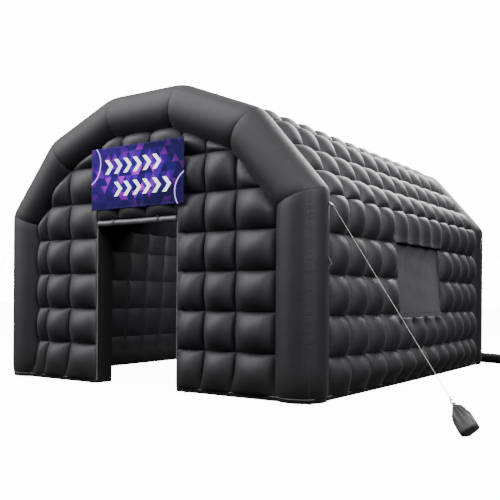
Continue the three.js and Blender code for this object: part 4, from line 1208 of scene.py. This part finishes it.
# Stitching: bonded polyester thread, 3 mm a stitch, drawn at more than twice that so that it shows. Two
# rows of it hem the banner, and boxes of it hold the straps on the legs.
def stitching_tree():
    """Lays stitches end to end along the edges of a piece, with a gap between them."""
    tree, given = geometry_tree(
        "stitching", "Stitches", Line="Geometry", Spacing="Float", Stitch_length="Float",
        Thread_radius="Float")
    curve = add_node(tree, "GeometryNodeMeshToCurve", {0: given["Line"]})
    places = add_node(tree, "GeometryNodeResampleCurve", {
        "Curve": curve.outputs[0], "Length": given["Spacing"]}, mode="LENGTH")
    stitch = add_node(tree, "GeometryNodeMeshCylinder", {
        "Vertices": 5, "Radius": given["Thread radius"], "Depth": given["Stitch length"]})
    forward = add_node(tree, "GeometryNodeInputTangent")
    turned = add_node(tree, "FunctionNodeAlignRotationToVector", {"Vector": forward.outputs[0]}, axis="Z")
    sewn_in = add_node(tree, "GeometryNodeInstanceOnPoints", {
        "Points": places.outputs[0], "Instance": stitch.outputs["Mesh"], "Rotation": turned.outputs[0]})
    return end_tree(tree, given, sewn_in.outputs[0])


stitching = stitching_tree()
grey_thread = woven_tape("grey_polyester_thread", "#6A6A70", 0.6)
violet_thread = woven_tape("violet_polyester_thread", "#3B2A78", 0.6)
hem_lines = []
for inset in (0.010, 0.019):
    left, right = banner_left + inset, banner_left + BANNER["width"] - inset
    bottom, top = BANNER["bottom"] + inset, BANNER["bottom"] + BANNER["height"] - inset
    corners = [(left, bottom), (right, bottom), (right, top), (left, top), (left, bottom)]
    for (x0, z0), (x1, z1) in zip(corners[:-1], corners[1:]):
        xs, zs = np.linspace(x0, x1, 80), np.linspace(z0, z1, 80)
        us, vs = (xs - banner_left) / BANNER["width"], (zs - BANNER["bottom"]) / BANNER["height"]
        hem_lines.append(np.stack([xs, -HALF_LENGTH - 0.0042 - billow(us, vs), zs], -1))
along_lines(
    "banner_hem_stitches", hem_lines, stitching, violet_thread, "printed_banner",
    Spacing=0.009, Stitch_length=0.0065, Thread_radius=0.0007)


# Webbing: black polyester tape, ribbed across. The guy tabs, the grip handle and the ground tabs are cut
# from it and sewn to the tubes with boxes of stitches.
def ribbed_webbing(name, colour, roughness):
    """Webbing that reads its place across and along the tape, in metres, from tape_place."""
    material, tree, shader = new_material(name, colour, roughness, Sheen_Weight=0.3)
    place = from_attribute(tree, "tape_place", "Vector")
    # Ribs are 1.5 mm apart; they are drawn 3 mm apart.
    ribs = maths(tree, "ADD", bands(tree, place, 105.0, 0.3, "Y"), bands(tree, place, 60.0, 0.2, "X"))
    wear = noise(tree, object_space(tree), 35.0, 4.0)
    connect(tree, shader, Base_Color=blend(tree, wear, linear(colour, 0.6), linear(colour, 1.6)),
            Normal=relief(tree, ribs, 0.6, 0.0008))
    return material


webbing = ribbed_webbing("black_ribbed_webbing", "#17171A", 0.68)

# Zinc-plated steel: bright, with a faint grain from drawing the wire and dull patches of wear.
plated_steel, tree, shader = new_material("zinc_plated_steel", "#C9CBD0", 0.28, metallic=1.0)
space = object_space(tree)
connect(tree, shader, Roughness=ramp(tree, noise(tree, space, 60.0, 4.0), 0.3, 0.7, 0.2, 0.42, "LINEAR"),
        Normal=relief(tree, noise(tree, space, 700.0), 0.15, 0.0002))

FACET_DISTANCE = TUBE_RADIUS * math.cos(FACET_TURN)
STRAP_STEPS = 11


def at_leg(side, end, x, y, height):
    return np.stack(np.broadcast_arrays(side * (LEG_AT[0] + x), end * (LEG_AT[1] - y), height), -1)


def beside_leg(side, end, out, along, height):
    """A point beside a leg, out from the facet that the solids give the leg."""
    x = math.cos(FACET_TURN) * (FACET_DISTANCE + out) - math.sin(FACET_TURN) * along
    y = math.sin(FACET_TURN) * (FACET_DISTANCE + out) + math.cos(FACET_TURN) * along
    return at_leg(side, end, x, y, height)


def on_leg(side, end, out, along, height):
    """A point on a leg's round cloth, or out from it, with along measured round the leg."""
    radius = TUBE_RADIUS + out
    angle = FACET_TURN + along / TUBE_RADIUS
    return at_leg(side, end, radius * np.cos(angle), radius * np.sin(angle), height)


def leg_strap(name, side, end, outs, heights, half_widths, thickness):
    """A strap up a leg: how far out its back lies, how high it is and half its width, at each step."""
    share = np.linspace(-1, 1, STRAP_STEPS)
    outs, heights, half_widths = (np.asarray(v, float)[:, None] for v in (outs, heights, half_widths))
    edge = 0.0006 * np.clip((np.abs(share) - 0.85) / 0.15, 0, 1)
    front = on_leg(side, end, outs + thickness - edge, share * half_widths, heights)
    back = on_leg(side, end, outs + 0.0002 + 0 * share, share * half_widths, heights)
    if side * end > 0:
        front, back = front[:, ::-1], back[:, ::-1]
    strap = shell(name, front, back, webbing)
    corner = np.array([v.co[:] for v in strap.data.vertices])
    angle = np.arctan2(end * (end * LEG_AT[1] - corner[:, 1]), side * corner[:, 0] - LEG_AT[0])
    keep_values(strap.data, "tape_place", np.stack([
        (angle - FACET_TURN) * TUBE_RADIUS, corner[:, 2], 0 * angle], -1))
    return strap


def stitch_boxes(name, side, end, boxes, half_width, out):
    """Boxes of grey stitches with a cross in each, on a strap, from one height to another."""
    lines = []
    for low, high in boxes:
        around = [(-half_width, low), (half_width, low), (half_width, high), (-half_width, high)]
        cross = [(around[0], around[2]), (around[1], around[3])]
        for (from_x, from_z), (to_x, to_z) in [*zip(around, around[1:] + around[:1]), *cross]:
            lines.append(on_leg(
                side, end, out, np.linspace(from_x, to_x, 8), np.linspace(from_z, to_z, 8)))
    along_lines(
        name, lines, stitching, grey_thread, "webbing", Spacing=0.006, Stitch_length=0.0042,
        Thread_radius=0.0006)


def turned_ring(name, centre, first, second, wire, radius, steps=72, sides=16):
    """A ring of round steel wire in the plane of two directions."""
    centre, first, second = (np.asarray(v, float) for v in (centre, first, second))
    angle = np.arange(steps)[:, None] * 2 * math.pi / steps
    section = np.arange(sides) * 2 * math.pi / sides
    out = (np.cos(angle) * first + np.sin(angle) * second)[:, None]
    points = centre + out * (radius + wire * np.cos(section))[None, :, None] \
        + (wire * np.sin(section))[None, :, None] * np.cross(first, second)
    index = np.arange(steps * sides).reshape(steps, sides)
    ahead = np.roll(index, -1, axis=0)
    faces = np.stack([index, ahead, np.roll(ahead, -1, axis=1), np.roll(index, -1, axis=1)], -1)
    piece = mesh_piece(name, points.reshape(-1, 3), faces.reshape(-1, 4).tolist(), plated_steel)
    weld(piece)
    return piece


# Guy tabs: straps of webbing, 48 mm wide and 180 mm long, sewn to the legs under the eave. Each is
# narrowed at its top, where its end is folded round the wire of a welded steel ring.
SLEEVE_OUT = 0.0113
RING = {"radius": 0.026, "wire": 0.004, "tilt": math.radians(40), "height": 2.030}
CORNERS = [*GUYS, ("rear_left", -1, 1)]
FOLD_STEPS = 15
FOLD_SIDES = 20
lean_out, lean_up = math.cos(RING["tilt"]), -math.sin(RING["tilt"])
TAB_SHAPE = np.array([
    # height, half width
    (1.850, 0.024), (1.990, 0.024), (2.016, 0.010), (2.030, 0.009)])
tab_heights = np.concatenate([
    np.linspace(TAB_SHAPE[0, 0], 1.985, 24), np.linspace(TAB_SHAPE[1, 0], TAB_SHAPE[-1, 0], 12)])
tab_widths = np.interp(tab_heights, TAB_SHAPE[:, 0], TAB_SHAPE[:, 1])
tab_outs = 0.0004 + 0.0006 * np.sin(tab_heights * 90) ** 2
fold_along = np.linspace(-0.009, 0.009, FOLD_STEPS)
fold_place = np.stack(np.broadcast_arrays(
    np.concatenate([fold_along, fold_along[::-1]])[:, None], np.arange(FOLD_SIDES) * 0.0019, 0), -1)
for name, side, end in CORNERS:
    strap = leg_strap(f"guy_tab_{name}_strap", side, end, tab_outs, tab_heights, tab_widths, 0.0022)
    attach(strap, "root")
    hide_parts(f"guy_tab_{name}")
    reach = np.linspace(math.radians(-20), math.radians(20), FOLD_STEPS) - math.pi / 2
    from_top = RING["radius"] * (1 + np.sin(reach))
    arc = beside_leg(side, end, SLEEVE_OUT + from_top * lean_out, RING["radius"] * np.cos(reach),
                     RING["height"] + from_top * lean_up)
    outer, inner = (swept(arc, radius, FOLD_SIDES) for radius in (0.0062, 0.0043))
    inner = inner.reshape(FOLD_STEPS, FOLD_SIDES, 3)[::-1].reshape(-1, 3)
    fold = mesh_piece(
        f"guy_tab_{name}_loop", np.concatenate([outer, inner]),
        loop_faces(2 * FOLD_STEPS, FOLD_SIDES, "joined"), webbing, {"tape_place": fold_place.reshape(-1, 3)})
    weld(fold)
    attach(fold, "root")
    stitch_boxes(f"guy_tab_{name}_stitches", side, end, [(1.862, 1.905), (1.925, 1.978)], 0.018, 0.0036)
    middle = beside_leg(
        side, end, SLEEVE_OUT + RING["radius"] * lean_out, 0, RING["height"] + RING["radius"] * lean_up)
    foot = beside_leg(side, end, 0, 0, 0)
    ring = turned_ring(
        f"guy_ring_{name}_steel", middle, beside_leg(side, end, 0, 1, 0) - foot,
        beside_leg(side, end, lean_out, 0, lean_up) - foot, RING["wire"], RING["radius"])
    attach(ring, "root")
    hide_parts(f"guy_ring_{name}")

# Grip handle: a strap of webbing whose two feet are sewn to the front right leg with boxes of stitches.
# Its middle is bowed out for a hand.
HANDLE_HEIGHT = 1.415
HANDLE_STEPS = 81
half_up = np.array([0, 9, 18, 26, 34, 44, 50, 60, 72]) / 1000
half_out = np.array([30, 29.0, 25.5, 20.5, 13.5, 3.5, 0.6, 0, 0]) / 1000
handle_steps = np.linspace(0, 16, HANDLE_STEPS)
handle_heights = HANDLE_HEIGHT + np.interp(handle_steps, range(17), [*-half_up[:0:-1], *half_up])
handle_outs = 0.0006 + np.interp(handle_steps, range(17), [*half_out[:0:-1], *half_out])
handle = leg_strap(
    "grip_handle_right_strap", 1, -1, handle_outs, handle_heights, np.full(HANDLE_STEPS, 0.018), 0.0026)
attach(handle, "root")
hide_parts("grip_handle_right")
stitch_boxes("grip_handle_stitches", 1, -1, [(1.346, 1.365), (1.465, 1.484)], 0.013, 0.0038)

# Ground tabs: short straps of webbing sewn under the hem, each with a steel eyelet for a peg. They lie on
# the ground, two beside the door and one at each front leg.
GROUND_TAB = {"half_width": 0.017, "length": 0.062, "eyelet": 0.009, "thickness": 0.0026}
TAB_SIDES = 96
TAB_LOOPS = 9
TAB_CURL = 0.0035
FRONT_HEM = -HALF_LENGTH + END_INSET
CORNER_HEM = TUBE_RADIUS * FOOT_PINCH / math.sqrt(2)
GROUND_TABS = [
    # name, x, y, turn
    ("door_left", -0.735, FRONT_HEM, 0),
    ("door_right", 0.735, FRONT_HEM, 0),
    ("corner_left", -LEG_AT[0] - CORNER_HEM, -LEG_AT[1] - CORNER_HEM, -45),
    ("corner_right", LEG_AT[0] + CORNER_HEM, -LEG_AT[1] - CORNER_HEM, 45),
]
eyelet_at = GROUND_TAB["length"] - GROUND_TAB["half_width"]
angle = np.arange(TAB_SIDES) * 2 * math.pi / TAB_SIDES
# The tab's edge seen from the eyelet is a rectangle
lengthways = np.where(np.sin(angle) > 0, GROUND_TAB["half_width"], eyelet_at)
edge = np.minimum(GROUND_TAB["half_width"] / np.maximum(np.abs(np.cos(angle)), 1e-6),
                  lengthways / np.maximum(np.abs(np.sin(angle)), 1e-6))
tab_loops = []
for is_top in (True, False):
    for share in np.linspace(0, 1, TAB_LOOPS)[::1 if is_top else -1]:
        reach = GROUND_TAB["eyelet"] + (edge - GROUND_TAB["eyelet"]) * share
        outwards = eyelet_at + reach * np.sin(angle)
        rounding = 0.0005 * (share > 0.95)
        height = TAB_CURL * np.clip(outwards / GROUND_TAB["length"], 0, 1) ** 3 + (
            GROUND_TAB["thickness"] - rounding if is_top else CLEAR + rounding)
        tab_loops.append(np.stack([reach * np.cos(angle), -CLEAR - outwards, height], -1))
flat_tab = np.concatenate(tab_loops)
eyelet_height = 0.0018 + TAB_CURL * (eyelet_at / GROUND_TAB["length"]) ** 3
for name, tab_x, tab_y, turn in GROUND_TABS:
    rotate = np.array(Matrix.Rotation(math.radians(turn), 3, "Z"))
    tab = mesh_piece(
        f"ground_tab_{name}_webbing", flat_tab @ rotate.T + (tab_x, tab_y, 0),
        loop_faces(2 * TAB_LOOPS, TAB_SIDES, "joined"), webbing, {"tape_place": flat_tab})
    weld(tab)
    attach(tab, "root")
    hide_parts(f"ground_tab_{name}")
    centre = rotate @ np.array([0, -CLEAR - eyelet_at, 0]) + (tab_x, tab_y, eyelet_height)
    eyelet = turned_ring(
        f"ground_tab_{name}_eyelet", centre, (1, 0, 0), (0, 1, 0), 0.0019, GROUND_TAB["eyelet"] + 0.0016,
        steps=48, sides=12)
    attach(eyelet, "root")

# Inflation hose: a sleeve of thin tent cloth that brings the blower's air. It is sewn to the rear wall and
# lies on the ground, blown round, with rings of creases where it bends. A strap draws its mouth together.
HOSE_RADIUS = 0.082
HOSE_LIE = HOSE_RADIUS + 0.0005
HOSE_SIDES = 56
MOUTH_LOOPS = 44
HOSE_ROUTE = [
    (1.480, 2.750, 0.230), (1.490, 2.990, 0.200), (1.600, 3.190, 0.125), (1.830, 3.230, HOSE_LIE),
    (2.060, 3.130, HOSE_LIE), (2.310, 3.030, HOSE_LIE), (2.600, 2.915, HOSE_LIE), (2.960, 2.790, HOSE_LIE),
    (3.340, 2.690, HOSE_LIE)]


def route_through(points, steps):
    """A smooth line through points. How it turns at each depends on the gaps beside it."""
    points = np.array(points)
    ends = np.concatenate([[2 * points[0] - points[1]], points, [2 * points[-1] - points[-2]]])
    route = []
    for a, b, c, d in zip(ends[:-3], ends[1:-2], ends[2:-1], ends[3:]):
        before, between, after = (np.linalg.norm(q - p) ** 0.5 for p, q in ((a, b), (b, c), (c, d)))
        leave = ((b - a) / before - (c - a) / (before + between) + (c - b) / between) * between
        arrive = ((c - b) / between - (d - b) / (between + after) + (d - c) / after) * between
        for t in np.arange(steps) / steps:
            route.append((2 * t ** 3 - 3 * t ** 2 + 1) * b + (t ** 3 - 2 * t ** 2 + t) * leave
                         + (3 * t ** 2 - 2 * t ** 3) * c + (t ** 3 - t ** 2) * arrive)
    return np.array([*route, points[-1]])


route = route_through(HOSE_ROUTE, 30)
run = np.concatenate([[0], np.cumsum(np.linalg.norm(np.diff(route, axis=0), axis=1))])
hose_length = run[-1]
strap_at = hose_length - 0.085
wall_at = float(np.interp(WALL_FACE_Y, route[:40, 1], run[:40]))
angle = np.arange(HOSE_SIDES) * 2 * math.pi / HOSE_SIDES


def on_route(at):
    return np.stack([np.interp(at, run, route[:, i]) for i in range(3)], -1)


def hose_radius(at):
    """The sleeve's radius along it and round it: flared at the wall, creased, and drawn in by the strap."""
    at = at[:, None]
    base = HOSE_RADIUS + 0.014 * np.exp(-((at - wall_at) / 0.030) ** 2)
    to_strap = at - strap_at
    base = base - 0.015 * np.exp(-(to_strap / 0.026) ** 2) - 0.004 * np.clip((to_strap - 0.02) / 0.06, 0, 1)
    rings = np.sin(at * 2 * math.pi / 0.047 + 1.4 * np.sin(angle * 2 + at * 5) + 2.0 * np.sin(at * 6.1))
    patches = 0.35 + 0.65 * np.sin(at * 9.7 + angle + 1) ** 2
    flutes = 0.0035 * np.exp(-((np.abs(to_strap) - 0.022) / 0.028) ** 2) * np.cos(11 * angle)
    return base + 0.0015 * rings * patches - 0.0015 + flutes


hose_run = np.linspace(0, hose_length, int(hose_length / 0.007))
mouth_run = np.linspace(hose_length - 0.0005, hose_length - 0.30, MOUTH_LOOPS)
outer = swept(on_route(hose_run), hose_radius(hose_run), HOSE_SIDES)
inner = swept(on_route(mouth_run)[::-1], hose_radius(mouth_run[::-1]) - 0.0018, HOSE_SIDES)
inner = inner.reshape(MOUTH_LOOPS, HOSE_SIDES, 3)[::-1].reshape(-1, 3)
hose_points = np.concatenate([outer, inner])
hose_points[:, 2] = np.maximum(hose_points[:, 2], 0.0006)
all_runs = np.concatenate([hose_run, mouth_run])
hose_place = np.stack(np.broadcast_arrays(angle * HOSE_RADIUS, all_runs[:, None], 33.0), -1)
hose = mesh_piece("inflation_hose_sleeve", hose_points, loop_faces(len(all_runs), HOSE_SIDES), tube_cloth, {
    "cloth_place": hose_place.reshape(-1, 3),
    "seam_near": np.repeat(np.minimum(np.abs(all_runs - strap_at), np.abs(all_runs - wall_at)), HOSE_SIDES),
    "side_near": np.tile(np.abs(angle - 4.0) * HOSE_RADIUS, len(all_runs))})
weld(hose)
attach(hose, "root")
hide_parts("inflation_hose")

# Hose strap: a band of webbing round the mouth of the hose, with a plastic ladder buckle, whose bar holds
# the band.
BAND_SIDES = 96
BAND = [
    # shift along the hose, radius
    (-0.0125, 0.0680), (-0.0120, 0.0702), (0.0, 0.0706), (0.0120, 0.0702), (0.0125, 0.0680), (0, 0.0678)]
strap_middle = on_route(strap_at)
strap_way = route[-1] - route[-8]
strap_way /= np.linalg.norm(strap_way)
strap_side = np.cross(strap_way, (0, 0, 1))
strap_side /= np.linalg.norm(strap_side)
strap_up = np.cross(strap_side, strap_way)
band_angle = np.arange(BAND_SIDES) * 2 * math.pi / BAND_SIDES
band_rim = np.cos(band_angle)[:, None] * strap_up + np.sin(band_angle)[:, None] * strap_side
band_points = np.concatenate([strap_middle + band_rim * radius + strap_way * shift for shift, radius in BAND])
band_place = np.stack(np.broadcast_arrays(np.array(BAND)[:, :1], band_angle * 0.07, 0), -1)
band = mesh_piece("hose_strap_band", band_points, loop_faces(len(BAND), BAND_SIDES, "joined"), webbing, {
    "tape_place": band_place.reshape(-1, 3)})
weld(band)
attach(band, "root")
buckle_out = 0.55 * strap_up + 0.835 * strap_side
buckle_up = np.cross(buckle_out, strap_way)
buckle_middle = strap_middle + buckle_out * 0.0742
turn = np.append(np.linspace(0, 2 * math.pi, 49)[:-1], 0)
square = np.maximum(np.abs(np.cos(turn)), np.abs(np.sin(turn))) ** 0.7
buckle_line = buckle_middle + (0.0165 * np.cos(turn) / square)[:, None] * strap_way \
    + (0.0125 * np.sin(turn) / square)[:, None] * buckle_up
piped("hose_strap_buckle", [buckle_line], 0.0021, nylon_black, "webbing")
bar_line = [buckle_middle + w * strap_way + 0.001 * buckle_out for w in np.linspace(-0.0155, 0.0155, 6)]
piped("hose_strap_buckle_bar", [bar_line], 0.0018, nylon_black, "webbing")
